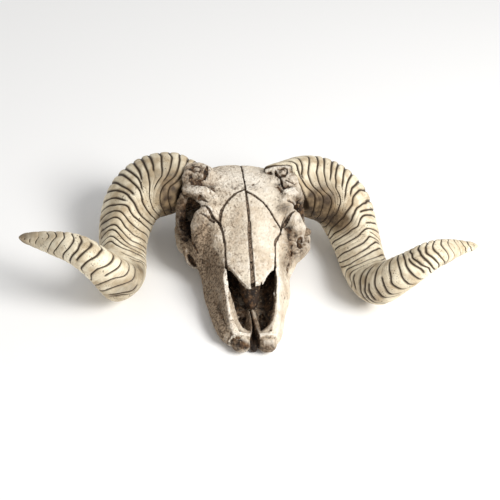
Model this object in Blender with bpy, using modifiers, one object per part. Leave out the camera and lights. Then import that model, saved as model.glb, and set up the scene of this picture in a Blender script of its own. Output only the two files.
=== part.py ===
"""Skull of a full-grown ram, without its lower jaw, with both horn sheaths.

The skull is shaped whole: one lofted head, with rims, arches, teeth and processes
fused to it, hollows cut out of it, and the bones then parted by thin cuts along the
sutures. Lengths are millimetres in the skull's own frame: +X to the animal's left,
the muzzle towards -Y, +Z up, the floor at Z = 0 and X = 0 the plane of symmetry.
"""

import math

import bmesh
import bpy
import numpy as np
from mathutils import Matrix, Vector

# The pieces are shaped in millimetres and brought to metres at the end
MM = 0.001
WELD = 0.01

# Driving dimensions of the head
MUZZLE_TIP_Y = -195.7
SKULL_BACK_Y = 67.7

# The origin lies under the middle of the model's length
ORIGIN_Y = 0.5 * (MUZZLE_TIP_Y + SKULL_BACK_Y)

# Sutures and the fine gaps between the pieces
SUTURE_GAP = 0.7
SEAT_GAP = 0.4

# Upper grinding teeth, whose crowns reach the floor
TEETH = 6
TOOTH_ROW_FRONT = -121.0
TOOTH_ROW_BACK = -56.0
TOOTH_ROOT_HEIGHT = 16.0

# Fineness of the fused head
FUSE_VOXEL = 2.2
HEAD_TRIANGLES = 3200
FLAT_ANGLE = 2.0
CRUMB = 0.05
SHARP_ANGLE = 40.0

# Colour and roughness of bone and of horn
BONE_COLOUR = (0.72, 0.63, 0.48)
BONE_ROUGHNESS = 0.75
HORN_COLOUR = (0.62, 0.52, 0.36)
HORN_ROUGHNESS = 0.6

# Horn: centre and radius at each station, from the base to the tip
HORN_STATIONS = (
    (62.5, 18.0, 74.0, 33.5),
    (92.0, 23.5, 66.0, 37.0),
    (121.0, 12.0, 54.5, 34.5),
    (138.0, -20.5, 34.5, 29.5),
    (141.5, -63.5, 26.5, 26.0),
    (145.5, -106.5, 35.0, 25.0),
    (161.5, -129.0, 65.0, 20.5),
    (193.5, -130.0, 93.0, 16.5),
    (229.5, -105.0, 84.5, 12.0),
    (256.5, -103.0, 88.5, 5.0),
)
HORN_RINGS = 40
HORN_SIDES = 14
KEEL_HEIGHT = 0.06
# Angle of the front keel round the horn, in degrees, against the share of its length
KEEL_SHARES = (0.0, 0.2, 0.27, 0.38, 0.48, 0.61, 0.7, 0.76, 0.84, 1.0)
KEEL_ANGLES = (80.0, 68.0, 40.0, 12.0, -5.0, -9.0, 8.0, 22.0, 50.0, 68.0)


def clear_scene():
    """Remove every object, so that the model starts from an empty scene."""
    for item in list(bpy.data.objects):
        bpy.data.objects.remove(item, do_unlink=True)


def new_collection(name):
    group = bpy.data.collections.new(name)
    bpy.context.scene.collection.children.link(group)
    return group


def new_material(name, colour, roughness):
    """A dull, non-metallic surface of one colour."""
    material = bpy.data.materials.new(name)
    material.use_nodes = True
    shader = material.node_tree.nodes["Principled BSDF"]
    shader.inputs["Base Color"].default_value = (*colour, 1.0)
    shader.inputs["Roughness"].default_value = roughness
    shader.inputs["Metallic"].default_value = 0.0
    return material


def link_mesh(name, mesh, group):
    item = bpy.data.objects.new(name, mesh)
    group.objects.link(item)
    return item


def placed(point):
    """A point of the skull's frame, measured from the origin."""
    x, y, z = point
    return Vector((x, y - ORIGIN_Y, z))


def bake(item):
    """Replace an object's mesh with what its modifiers make of it."""
    graph = bpy.context.evaluated_depsgraph_get()
    mesh = bpy.data.meshes.new_from_object(item.evaluated_get(graph))
    item.modifiers.clear()
    item.data = mesh


def loft(name, rings, group):
    """A closed skin through rings of equal point count, with flat ends."""
    shape = bmesh.new()
    loops = [[shape.verts.new(placed(point)) for point in ring] for ring in rings]
    count = len(rings[0])
    for lower, upper in zip(loops, loops[1:]):
        for i in range(count):
            j = (i + 1) % count
            shape.faces.new((lower[i], lower[j], upper[j], upper[i]))
    shape.faces.new(loops[0])
    shape.faces.new(loops[-1])
    bmesh.ops.recalc_face_normals(shape, faces=shape.faces)
    mesh = bpy.data.meshes.new(name)
    shape.to_mesh(mesh)
    shape.free()
    return link_mesh(name, mesh, group)


def ellipsoid(name, centre, radii, group, turn=(0.0, 0.0, 0.0)):
    """A ball stretched to three radii and turned about X, Y and Z in degrees."""
    shape = bmesh.new()
    bmesh.ops.create_uvsphere(shape, u_segments=20, v_segments=12, radius=1.0)
    turned = Matrix.Identity(4)
    for angle, axis in zip(turn, "XYZ"):
        turned = Matrix.Rotation(math.radians(angle), 4, axis) @ turned
    stretched = Matrix.Diagonal((*radii, 1.0))
    bmesh.ops.transform(
        shape, matrix=Matrix.Translation(placed(centre)) @ turned @ stretched, verts=shape.verts
    )
    mesh = bpy.data.meshes.new(name)
    shape.to_mesh(mesh)
    shape.free()
    return link_mesh(name, mesh, group)


def tube(name, points, radii, group):
    """A round bar through points, each with its own radius, with filled ends."""
    curve = bpy.data.curves.new(name, "CURVE")
    curve.dimensions = "3D"
    curve.bevel_depth = 1.0
    curve.bevel_resolution = 3
    curve.use_fill_caps = True
    line = curve.splines.new("POLY")
    line.points.add(len(points) - 1)
    for knot, point, radius in zip(line.points, points, radii):
        knot.co = (*placed(point), 1.0)
        knot.radius = radius
    return meshed(name, curve, group)


def prism(name, outline, low, high, group):
    """A flat outline seen from above, raised between two heights."""
    curve = bpy.data.curves.new(name, "CURVE")
    curve.dimensions = "2D"
    curve.fill_mode = "BOTH"
    curve.extrude = 0.5 * (high - low)
    line = curve.splines.new("POLY")
    line.points.add(len(outline) - 1)
    line.use_cyclic_u = True
    for knot, (x, y) in zip(line.points, outline):
        knot.co = (*placed((x, y, 0.0)), 1.0)
    item = meshed(name, curve, group)
    item.data.transform(Matrix.Translation((0.0, 0.0, 0.5 * (high + low))))
    return item


def meshed(name, curve, group):
    """Turn a curve into a closed mesh whose end caps are welded on."""
    guide = link_mesh(name + "_guide", curve, group)
    graph = bpy.context.evaluated_depsgraph_get()
    mesh = bpy.data.meshes.new_from_object(guide.evaluated_get(graph))
    bpy.data.objects.remove(guide, do_unlink=True)
    shape = bmesh.new()
    shape.from_mesh(mesh)
    bmesh.ops.remove_doubles(shape, verts=shape.verts, dist=WELD)
    bmesh.ops.recalc_face_normals(shape, faces=shape.faces)
    shape.to_mesh(mesh)
    shape.free()
    return link_mesh(name, mesh, group)


def cut(item, cutter, operation):
    """Boolean of an item with one cutter, baked into the item's mesh; both are closed."""
    step = item.modifiers.new(cutter.name, "BOOLEAN")
    step.operation = operation
    step.solver = "MANIFOLD"
    step.object = cutter
    bake(item)


def natural_spline(values, at):
    """Cubic spline with free ends through equally spaced values, at positions at."""
    values = np.asarray(values, float)
    count = len(values)
    system = np.eye(count)
    right = np.zeros_like(values)
    for i in range(1, count - 1):
        system[i, i - 1:i + 2] = (1.0, 4.0, 1.0)
        right[i] = 6.0 * (values[i - 1] - 2.0 * values[i] + values[i + 1])
    bend = np.linalg.solve(system, right)
    i = np.clip(np.floor(at).astype(int), 0, count - 2)
    b = (at - i)[:, None]
    a = 1.0 - b
    chord = a * values[i] + b * values[i + 1]
    return chord + ((a**3 - a) * bend[i] + (b**3 - b) * bend[i + 1]) / 6.0


# ---------------------------------------------------------------- head

# Half outline of the head at each Y, from the midline of the roof to that of the base
HEAD_SECTIONS = {
    -186.0: ((0, 19), (8, 20), (14, 20), (20, 18), (24, 14), (25, 9), (22, 5), (14, 4), (0, 5)),
    -174.0: ((0, 25), (12, 25), (21, 25), (26, 22), (32, 16), (35, 10), (31, 5), (16, 5), (0, 7)),
    -164.0: ((0, 29), (12, 29), (22, 29), (28, 25), (34, 17), (38, 10), (33, 5), (17, 5), (0, 8)),
    -150.0: ((0, 35), (14, 35), (25, 34), (30, 29), (36, 19), (41, 10), (37, 5), (20, 7), (0, 9)),
    -136.0: ((0, 50), (14, 47), (26, 41), (31, 34), (38, 22), (44, 11), (40, 6), (24, 8), (0, 11)),
    -120.0: ((0, 59), (15, 57), (28, 50), (33, 42), (40, 26), (48, 13), (44, 8), (28, 9), (0, 13)),
    -105.0: ((0, 66), (15, 64), (29, 58), (35, 49), (43, 31), (50.5, 16), (46, 9), (32, 9), (0, 14)),
    -90.0: ((0, 72), (16, 71), (31, 65), (38, 54), (45, 36), (51, 20), (47, 10), (34, 9), (0, 15)),
    -75.0: ((0, 78), (17, 77), (33, 73), (42, 61), (48, 44), (53, 28), (48, 13), (35, 10), (0, 15)),
    -60.0: ((0, 84), (20, 83), (38, 79), (48, 69), (53, 53), (55, 37), (46, 17), (34, 12), (0, 16)),
    -45.0: ((0, 89), (24, 88), (44, 85), (50, 78), (43, 62), (40, 42), (34, 22), (24, 14), (0, 20)),
    -30.0: ((0, 92), (28, 91), (54, 88), (56, 80), (35, 68), (29, 46), (23, 32), (14, 27), (0, 27)),
    -12.0: ((0, 94), (30, 93), (56, 89), (58, 80), (38, 68), (33, 46), (25, 30), (14, 23), (0, 22)),
    6.0: ((0, 93), (24, 93), (41, 91), (46, 78), (43, 60), (38, 42), (31, 28), (16, 19), (0, 18)),
    24.0: ((0, 90), (22, 89), (38, 87), (44, 70), (43, 54), (40, 40), (32, 27), (17, 18), (0, 16)),
    42.0: ((0, 84), (20, 83), (35, 78), (40, 63), (41, 50), (38, 37), (31, 25), (16, 17), (0, 15)),
    55.0: ((0, 72), (16, 71), (30, 65), (36, 54), (37, 44), (33, 33), (25, 23), (13, 17), (0, 16)),
    62.0: ((0, 60), (12, 59), (24, 54), (29, 48), (30, 41), (27, 33), (20, 26), (10, 21), (0, 20)),
}


def head_loft(group):
    """The head's bulk: half sections mirrored about the midline and skinned."""
    return loft("head_bulk", mirrored_rings(HEAD_SECTIONS), group)


def orbit_rims(side, group):
    """The lacrimal lobe, the bar behind the eye, the brow edge, cheek bone and arch."""
    runs = {
        "lobe": (
            ((46, -44, 83), (52, -51, 79), (55, -60, 69), (55, -65, 57), (54, -66, 46)),
            (8, 8.5, 9, 9, 10),
        ),
        "bar": (
            ((50, -22, 86), (64, -13, 88), (71, -12, 80), (74, -16, 67), (74, -26, 54),
             (71, -36, 43)),
            (6, 6, 6, 6, 6, 7),
        ),
        "cheek": (
            ((48, -84, 27), (54, -70, 35), (62, -60, 38), (68, -50, 37), (71, -38, 39),
             (72, -28, 41)),
            (6, 8, 10, 10.5, 9, 7),
        ),
        "arch": (
            ((72, -28, 41), (72, -12, 39), (67, 6, 39), (57, 22, 39), (42, 32, 38)),
            (6.5, 5.5, 5.5, 6, 7),
        ),
        "brow": (
            ((40, -44, 85), (52, -37, 88), (60, -27, 90), (66, -13, 89)), (6, 6, 6, 6)
        ),
    }
    shapes = [
        ellipsoid("ear_shelf", (side * 50, 8, 35), (21, 20, 6.5), group),
        ellipsoid("mastoid", (side * 42, 30, 38), (16, 15, 12), group),
    ]
    for name, (points, radii) in runs.items():
        points = [(side * x, y, z) for x, y, z in points]
        shapes.append(tube("rim_" + name, points, radii, group))
    return shapes


def skull_base(side, group):
    """Condyle, jugular process, ear bulla and ear canal of one side."""
    return [
        ellipsoid("condyle", (side * 13, 60, 24), (8, 8, 10), group),
        tube("jugular", [(side * 30, 50, 34), (side * 31, 51, 16), (side * 29, 47, 0.9)],
             (9, 6.5, 4), group),
        ellipsoid("bulla", (side * 25, 28, 17), (8, 12, 9), group),
        tube("ear_canal", [(side * 34, 34, 36), (side * 46, 32, 36)], (8, 6), group),
        tube("pterygoid", [(side * 15, -38, 22), (side * 14, -22, 16), (side * 14, -4, 20)],
             (4, 3, 3), group),
    ]


def horn_core(side, group):
    """Stump of bone that carries the horn, up to the seat of the sheath."""
    points = [(side * 34, 8, 72), (side * 54, 13, 74), (side * 92, 24, 66)]
    return tube("horn_core", points, (22, 28, 31), group)


def cheek_teeth(side, group):
    """Six grinding teeth of one row, broader and farther out towards the back."""
    teeth = []
    for number in range(TEETH):
        share = number / (TEETH - 1.0)
        x = side * (31.0 + 6.0 * math.sin(0.5 * math.pi * share))
        y = TOOTH_ROW_FRONT + share * (TOOTH_ROW_BACK - TOOTH_ROW_FRONT)
        width = 4.8 + 1.6 * share
        length = 5.0 + 1.3 * share
        turns = [math.radians(22.5 + 45.0 * corner) for corner in range(8)]
        outline = [(x + width * math.cos(t), y + length * math.sin(t)) for t in turns]
        teeth.append(prism("tooth", outline, 0.0, TOOTH_ROOT_HEIGHT, group))
    return teeth


def muzzle_tip(side, group):
    """The blunt end of the premaxilla."""
    return [ellipsoid("tip", (side * 15, -186, 11), (12, 10, 9.5), group)]


def fuse(name, shapes, group):
    """Join overlapping closed shapes into one smooth, closed skin."""
    mesh = bpy.data.meshes.new(name)
    whole = bmesh.new()
    for shape in shapes:
        whole.from_mesh(shape.data)
        bpy.data.objects.remove(shape, do_unlink=True)
    whole.to_mesh(mesh)
    whole.free()
    item = link_mesh(name, mesh, group)
    skin = item.modifiers.new("skin", "REMESH")
    skin.mode = "VOXEL"
    skin.voxel_size = FUSE_VOXEL
    soften = item.modifiers.new("soften", "SMOOTH")
    soften.factor = 0.5
    soften.iterations = 4
    bake(item)
    thin = item.modifiers.new("thin", "DECIMATE")
    thin.ratio = HEAD_TRIANGLES / (2.0 * len(item.data.polygons))
    bake(item)
    return item


# Half outline of the nose's hollow at each Y; its floor carries two ridges in front
NOSE_SECTIONS = {
    -180.0: ((0, 60), (12, 60), (17, 50), (18, 26), (16, 20), (12, 19), (9, 21), (5, 24), (0, 24)),
    -165.0: ((0, 70), (14, 70), (20, 60), (21, 30), (19, 19), (11, 17), (8, 19), (5, 25), (0, 26)),
    -150.0: ((0, 75), (15, 75), (22, 60), (23, 34), (21, 21), (13, 18), (7, 19), (4, 25), (0, 26)),
    -135.0: ((0, 44), (12, 42), (21, 38), (24, 32), (22, 23), (16, 20), (10, 20), (4, 21), (0, 22)),
    -120.0: ((0, 51), (12, 50), (21, 45), (25, 38), (24, 29), (20, 24), (14, 21), (7, 20), (0, 20)),
    -100.0: ((0, 61), (12, 60), (22, 55), (27, 46), (26, 37), (22, 30), (16, 26), (8, 24), (0, 23)),
    -78.0: ((0, 70), (10, 69), (18, 65), (23, 56), (22, 48), (18, 41), (13, 37), (7, 34), (0, 33)),
    -66.0: ((0, 64), (5, 63), (9, 60), (11, 56), (11, 52), (9, 49), (6, 47), (3, 46), (0, 46)),
}

# Half outline of the vomer and scrolls, which rise from the floor of the nose
VOMER_SECTIONS = {
    -148.0: ((0, 31), (1.5, 31), (2.5, 29), (2.5, 27), (0, 27)),
    -138.0: ((0, 38), (4, 37), (7, 33), (7, 25), (0, 24)),
    -126.0: ((0, 43), (6, 42), (10, 36), (9, 25), (0, 23)),
    -110.0: ((0, 51), (7, 50), (12, 42), (11, 30), (0, 24.5)),
    -92.0: ((0, 60), (6, 59), (11, 50), (10, 36), (0, 29)),
    -80.0: ((0, 65), (4, 64), (8, 55), (7, 42), (0, 34)),
}

# Outer edge of the nasal bones in front, from the side of the nose to their tips
NASAL_FRONT = ((28.5, -107), (22, -115), (14, -128), (5, -137), (0, -138))


def mirrored_rings(sections):
    """Closed rings from half outlines that run from the midline back to it."""
    rings = []
    for y, half in sections.items():
        left = [(x, y, z) for x, z in half]
        right = [(-x, y, z) for x, z in half[-2:0:-1]]
        rings.append(left + right)
    return rings


def hollows(side, group):
    """Cutters for the eye socket, the slot in the palate and the choana."""
    return [
        ellipsoid("orbit", (side * 57, -37, 67), (31, 15.5, 18), group, (0, 0, -side * 14)),
        prism("palate_slot", [(side * x, y) for x, y in (
            (9, -174), (15, -174), (17, -166), (16, -150), (12, -146), (8, -152), (7, -166)
        )], -5, 24, group),
        tube("choana", [(side * 7, -62, 18), (side * 7, -30, 18), (side * 7, -8, 12)],
             (7, 8, 8), group),
    ]


def middle_hollows(group):
    """Cutters on the midline: nose, foramen magnum and the notch between the tips."""
    tips = [(x, y) for x, y in NASAL_FRONT] + [(-x, y) for x, y in NASAL_FRONT[-2::-1]]
    opening = tips + [(-28, -118), (-25, -150), (-21, -178), (21, -178), (25, -150), (28, -118)]
    return [
        loft("nose", mirrored_rings(NOSE_SECTIONS), group),
        prism("aperture", opening, 40, 120, group),
        tube("foramen", [(0, 76, 40), (0, 50, 37), (0, 40, 36)], (11, 10, 7), group),
        prism("notch", [(-3, -215), (3, -215), (3.5, -186), (1.2, -172), (0.6, -158),
                        (-0.6, -158), (-1.2, -172), (-3.5, -186)], -5, 60, group),
    ]


# ---------------------------------------------------------------- horns


def horn_rings(side, room=0.0):
    """Rounded three-cornered sections carried along the horn's curve."""
    at = np.linspace(0.0, len(HORN_STATIONS) - 1.0, HORN_RINGS)
    path = natural_spline(HORN_STATIONS, at)
    centres, radii = path[:, :3], path[:, 3] + room
    along = np.gradient(centres, axis=0)
    along /= np.linalg.norm(along, axis=1)[:, None]
    centres[0] -= room * along[0]
    run = np.linalg.norm(np.diff(centres, axis=0), axis=1).cumsum()
    share = np.concatenate(([0.0], run)) / run[-1]
    keel = np.radians(np.interp(share, KEEL_SHARES, KEEL_ANGLES))
    turn = np.arange(HORN_SIDES) * 2.0 * math.pi / HORN_SIDES
    upright = np.array((0.0, 0.0, 1.0))
    rings = []
    for centre, radius, ahead, corner in zip(centres, radii, along, keel):
        upright = upright - ahead * upright.dot(ahead)
        upright /= np.linalg.norm(upright)
        across = np.cross(ahead, upright)
        reach = radius * (1.0 + KEEL_HEIGHT * np.cos(3.0 * (turn - corner)))
        ring = centre + reach[:, None] * (
            np.cos(turn)[:, None] * upright + np.sin(turn)[:, None] * across
        )
        rings.append(ring * (side, 1.0, 1.0))
    return rings


# ---------------------------------------------------------------- bones

# Paired bones, in the order they are parted from the head: the outline of the room
# that each fills on the left, seen from above, its heights, and the plane's slope
BONE_ROOMS = {
    "nasal": (
        ((0.5, -20), (12, -22), (22, -30), (30, -45), (34, -66), (32, -76), (30, -92),
         (29, -108), (24, -119), (16, -131), (8, -141), (0.5, -145)),
        -5.0, 60.0,
    ),
    "frontal": (
        ((0.5, 40), (0.5, -66), (34.5, -67), (42, -52), (48, -38), (53, -29), (95, -27), (95, 40)),
        57.0, 140.0,
    ),
    "lacrimal": (
        ((33, -69), (34.5, -67), (42, -52), (48, -38), (53, -29), (95, -27), (95, -69)),
        50.0, 140.0,
    ),
    "zygomatic": (((46, -58), (53, -86), (95, -86), (95, 10), (46, 10)), -5.0, 57.0),
    "premaxilla": (((0.5, -215), (60, -215), (60, -149), (30, -141), (0.5, -146)), -5.0, 90.0),
    "maxilla": (((0.5, -160), (90, -160), (90, -46), (0.5, -46)), -5.0, 90.0),
}
# The underside of the nasal bones, as a plane through this point with this fall forwards
NASAL_PLANE_POINT = (0.0, -66.0, 75.0)
NASAL_PLANE_FALL = 25.6


def widened(outline, distance):
    """The outline with every edge moved outwards by a distance and mitred."""
    points = [Vector(point) for point in outline]
    count = len(points)
    area = sum(points[i - 1].cross(points[i]) for i in range(count))
    sign = 1.0 if area > 0.0 else -1.0
    result = []
    for i in range(count):
        before = (points[i] - points[i - 1]).normalized()
        after = (points[(i + 1) % count] - points[i]).normalized()
        out_before = Vector((before.y, -before.x)) * sign
        out_after = Vector((after.y, -after.x)) * sign
        mitre = (out_before + out_after).normalized()
        result.append(points[i] + mitre * distance / max(mitre.dot(out_before), 0.3))
    return result


def bone_room(bone, side, extra, group):
    """The space that holds one bone, larger all round by the extra."""
    outline, low, high = BONE_ROOMS[bone]
    outline = widened([(side * x, y) for x, y in outline], extra)
    room = prism(bone + "_room", outline, low - extra, high + extra, group)
    if bone == "nasal":
        pivot = placed(NASAL_PLANE_POINT)
        fall = Matrix.Identity(4)
        fall[2][1] = math.tan(math.radians(NASAL_PLANE_FALL))
        fall[2][3] = pivot.z - fall[2][1] * pivot.y
        room.data.transform(fall)
    return room


def tidy_faces(item):
    """Merge faces that lie almost in one plane, then split all into triangles."""
    shape = bmesh.new()
    shape.from_mesh(item.data)
    bmesh.ops.dissolve_degenerate(shape, edges=shape.edges, dist=CRUMB)
    bmesh.ops.dissolve_limit(
        shape, angle_limit=math.radians(FLAT_ANGLE), verts=shape.verts, edges=shape.edges
    )
    bmesh.ops.triangulate(shape, faces=shape.faces)
    shape.to_mesh(item.data)
    shape.free()


def keep_largest(item):
    """Delete every loose crumb, leaving the one largest body."""
    shape = bmesh.new()
    shape.from_mesh(item.data)
    left = set(shape.verts)
    bodies = []
    while left:
        stack = [left.pop()]
        body = set(stack)
        while stack:
            for edge in stack.pop().link_edges:
                for vert in edge.verts:
                    if vert in left:
                        left.discard(vert)
                        body.add(vert)
                        stack.append(vert)
        bodies.append(body)
    bodies.sort(key=len)
    crumbs = [vert for body in bodies[:-1] for vert in body]
    bmesh.ops.delete(shape, geom=crumbs, context="VERTS")
    shape.to_mesh(item.data)
    shape.free()


def dress(piece, colour, roughness):
    """Bring a finished piece to metres and give it its own material and shading."""
    mesh = piece.data
    mesh.transform(Matrix.Scale(MM, 4))
    mesh.materials.clear()
    mesh.materials.append(new_material(piece.name, colour, roughness))
    mesh.shade_smooth()
    mesh.set_sharp_from_angle(angle=math.radians(SHARP_ANGLE))


def build():
    """Shape the head, part its bones along the sutures and add the horns."""
    clear_scene()
    skull = new_collection("ram_skull")
    tools = new_collection("cutters")
    sides = {"left": 1.0, "right": -1.0}

    shapes = [head_loft(tools)]
    for side in sides.values():
        shapes += orbit_rims(side, tools) + skull_base(side, tools)
        shapes += muzzle_tip(side, tools)
        shapes.append(horn_core(side, tools))
    head = fuse("head", shapes, tools)
    cutters = middle_hollows(tools)
    for side in sides.values():
        cutters += hollows(side, tools)
        cutters.append(loft("horn_room", horn_rings(side, SEAT_GAP), tools))
    for cutter in cutters:
        cut(head, cutter, "DIFFERENCE")

    pieces = []
    for name in BONE_ROOMS:
        for label, side in sides.items():
            piece = link_mesh(name + "_" + label, head.data.copy(), skull)
            cut(piece, bone_room(name, side, 0.0, tools), "INTERSECT")
            cut(head, bone_room(name, side, SUTURE_GAP, tools), "DIFFERENCE")
            keep_largest(piece)
            if name == "maxilla":
                for tooth in cheek_teeth(side, tools):
                    cut(piece, tooth, "UNION")
            pieces.append(piece)
    keep_largest(head)
    pieces.append(link_mesh("braincase", head.data.copy(), skull))
    pieces.append(loft("vomer", mirrored_rings(VOMER_SECTIONS), skull))
    for piece in pieces:
        tidy_faces(piece)
        dress(piece, BONE_COLOUR, BONE_ROUGHNESS)
    for label, side in sides.items():
        dress(loft("horn_" + label, horn_rings(side), skull), HORN_COLOUR, HORN_ROUGHNESS)
    for leftover in list(tools.objects):
        bpy.data.objects.remove(leftover, do_unlink=True)


build()
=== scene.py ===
import math

import bpy
import numpy as np
from mathutils import Matrix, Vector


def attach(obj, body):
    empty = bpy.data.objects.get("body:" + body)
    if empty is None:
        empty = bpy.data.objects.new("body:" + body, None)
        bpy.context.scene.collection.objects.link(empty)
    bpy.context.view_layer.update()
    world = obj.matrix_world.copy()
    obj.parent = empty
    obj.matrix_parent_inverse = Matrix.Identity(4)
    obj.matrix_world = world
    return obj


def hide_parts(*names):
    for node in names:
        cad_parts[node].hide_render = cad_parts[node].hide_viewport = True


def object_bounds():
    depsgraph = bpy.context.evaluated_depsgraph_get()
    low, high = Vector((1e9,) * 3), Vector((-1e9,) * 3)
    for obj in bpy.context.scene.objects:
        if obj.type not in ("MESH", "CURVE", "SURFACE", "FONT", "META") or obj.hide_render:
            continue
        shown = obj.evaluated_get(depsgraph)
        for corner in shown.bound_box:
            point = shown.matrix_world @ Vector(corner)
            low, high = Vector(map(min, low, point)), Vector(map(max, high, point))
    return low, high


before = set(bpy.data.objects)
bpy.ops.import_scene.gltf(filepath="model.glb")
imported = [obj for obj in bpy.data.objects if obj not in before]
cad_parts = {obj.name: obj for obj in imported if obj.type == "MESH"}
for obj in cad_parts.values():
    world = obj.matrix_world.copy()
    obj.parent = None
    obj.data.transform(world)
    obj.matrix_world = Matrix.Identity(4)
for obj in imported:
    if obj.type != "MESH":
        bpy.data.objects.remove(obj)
cad_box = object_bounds()


# ------------------------------------------------------------------ where the skull lies
# The skull lies on its teeth and horns on a plain pale floor. It is seen from above its
# muzzle with a long lens, in a pale room with one broad lamp.

# Millimetres in the skull's own frame, whose floor is Z = 0 and whose Y = 0 lies at the
# back of the eye sockets, against metres in the frame of the model
MM = 0.001
ORIGIN_Y = -64.0

EYE_AZIMUTH, EYE_HEIGHT, EYE_ROLL = -12.0, 40.0, 8.8
EYE_DISTANCE = 1600.0
AIM = (0.0, -80.0, 60.0)
AIM_SHIFT = (-1.055, 2.517)
LENS, SENSOR = 101.4, 36.0


def to_metres(points):
    """Points of the skull's frame in millimetres as points of the model in metres."""
    return (np.asarray(points, float) - (0.0, ORIGIN_Y, 0.0)) * MM


def hung_camera():
    """Camera on a sphere round the aim: azimuth a and height e give its back vector
    (sin a cos e, -cos a cos e, sin e), and the roll turns its sides about that."""
    a, e, r = np.radians((EYE_AZIMUTH, EYE_HEIGHT, EYE_ROLL))
    back = np.array((math.sin(a) * math.cos(e), -math.cos(a) * math.cos(e), math.sin(e)))
    level = np.array((math.cos(a), math.sin(a), 0.0))
    rise = np.cross(back, level)
    right = level * math.cos(r) + rise * math.sin(r)
    up = rise * math.cos(r) - level * math.sin(r)
    place = np.array(AIM) + back * EYE_DISTANCE - right * AIM_SHIFT[0] - up * AIM_SHIFT[1]
    data = bpy.data.cameras.new("camera")
    data.lens = LENS
    data.sensor_width = SENSOR
    data.clip_start = 0.05
    data.clip_end = 30.0
    camera = bpy.data.objects.new("camera", data)
    bpy.context.scene.collection.objects.link(camera)
    place = to_metres(place)
    camera.matrix_world = Matrix(
        [[right[i], up[i], back[i], place[i]] for i in range(3)] + [[0.0, 0.0, 0.0, 1.0]]
    )
    return camera


bpy.context.scene.camera = hung_camera()

FLOOR_HALF, FLOOR_DROP = 6.0, 0.0003
FLOOR_SQUARES = 8
FLOOR_COLOUR = (0.93, 0.93, 0.93, 1.0)


def floor_sheet():
    """A square grid of points, a hair under the skull."""
    side = FLOOR_SQUARES + 1
    run = np.linspace(-FLOOR_HALF, FLOOR_HALF, side)
    x, y = np.meshgrid(run, run, indexing="ij")
    points = np.stack((x, y, np.full_like(x, -FLOOR_DROP)), -1).reshape(-1, 3)
    i, j = np.meshgrid(np.arange(FLOOR_SQUARES), np.arange(FLOOR_SQUARES), indexing="ij")
    a = (i * side + j).ravel()
    faces = np.stack((a, a + side, a + side + 1, a + 1), -1)
    mesh = bpy.data.meshes.new("floor")
    mesh.from_pydata(points.tolist(), [], faces.tolist())
    floor = bpy.data.objects.new("floor", mesh)
    bpy.context.scene.collection.objects.link(floor)
    paint = bpy.data.materials.new("floor_paint")
    paint.use_nodes = True
    shader = paint.node_tree.nodes["Principled BSDF"]
    shader.inputs["Base Color"].default_value = FLOOR_COLOUR
    shader.inputs["Roughness"].default_value = 0.9
    shader.inputs["Specular IOR Level"].default_value = 0.1
    mesh.materials.append(paint)
    return floor


floor_sheet()

ROOM_LIGHT = (1.0, 1.0, 1.0, 1.0)
ROOM_STRENGTH = 0.52
LAMPS = {
    "key": ((0.95, -0.85, 1.3), 0.9, 34.0, (1.0, 0.985, 0.96)),
}


def hung_lamp(name, place, size, power, colour):
    """A square soft lamp that faces the skull."""
    data = bpy.data.lights.new(name, "AREA")
    data.shape = "SQUARE"
    data.size = size
    data.energy = power
    data.color = colour
    lamp = bpy.data.objects.new(name, data)
    bpy.context.scene.collection.objects.link(lamp)
    back = np.array(place) - (0.0, -0.02, 0.06)
    back /= np.linalg.norm(back)
    side = np.cross((0.0, 0.0, 1.0), back)
    side /= np.linalg.norm(side)
    up = np.cross(back, side)
    lamp.matrix_world = Matrix(
        [[side[i], up[i], back[i], place[i]] for i in range(3)] + [[0.0, 0.0, 0.0, 1.0]]
    )


for name, (place, size, power, colour) in LAMPS.items():
    hung_lamp(name, place, size, power, colour)
room = bpy.data.worlds.new("room")
bpy.context.scene.world = room
room.use_nodes = True
room.node_tree.nodes["Background"].inputs["Color"].default_value = ROOM_LIGHT
room.node_tree.nodes["Background"].inputs["Strength"].default_value = ROOM_STRENGTH
bpy.context.scene.view_settings.view_transform = "Standard"


# ------------------------------------------------------------------ the mass of the head
# All the bones of the head are worked out as one mass, as they are in life, and parted
# along their sutures afterwards. The mass is a block of distances to its surface, below
# zero inside the bone, at points STEP apart.

STEP = 0.8
BLOCK_LOW = np.array((-88.0, -201.6, -4.0))
BLOCK_COUNT = (221, 343, 146)

edges = [
    (BLOCK_LOW[k] + STEP * np.arange(BLOCK_COUNT[k])).astype(np.float32) for k in range(3)
]
head = np.full(BLOCK_COUNT, 30.0, np.float32)


def patch(low, high, room=8.0):
    """The part of the block between two corners, with a margin: slices and X, Y, Z."""
    cuts = []
    for k in range(3):
        first = int((low[k] - room - BLOCK_LOW[k]) / STEP)
        last = int((high[k] + room - BLOCK_LOW[k]) / STEP) + 2
        cuts.append(slice(max(first, 0), min(max(last, 1), BLOCK_COUNT[k])))
    x, y, z = (edges[k][cuts[k]] for k in range(3))
    return tuple(cuts), x[:, None, None], y[None, :, None], z[None, None, :]


def blended(a, b, soft):
    """The lesser of two distances, with the crease between them filled over soft."""
    share = np.clip(0.5 + 0.5 * (b - a) / soft, 0.0, 1.0)
    return b + (a - b) * share - soft * share * (1.0 - share)


def add(cuts, distance, soft=4.0):
    head[cuts] = blended(head[cuts], distance, soft)


def carve(cuts, distance, soft=2.0):
    head[cuts] = -blended(-head[cuts], distance, soft)


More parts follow.
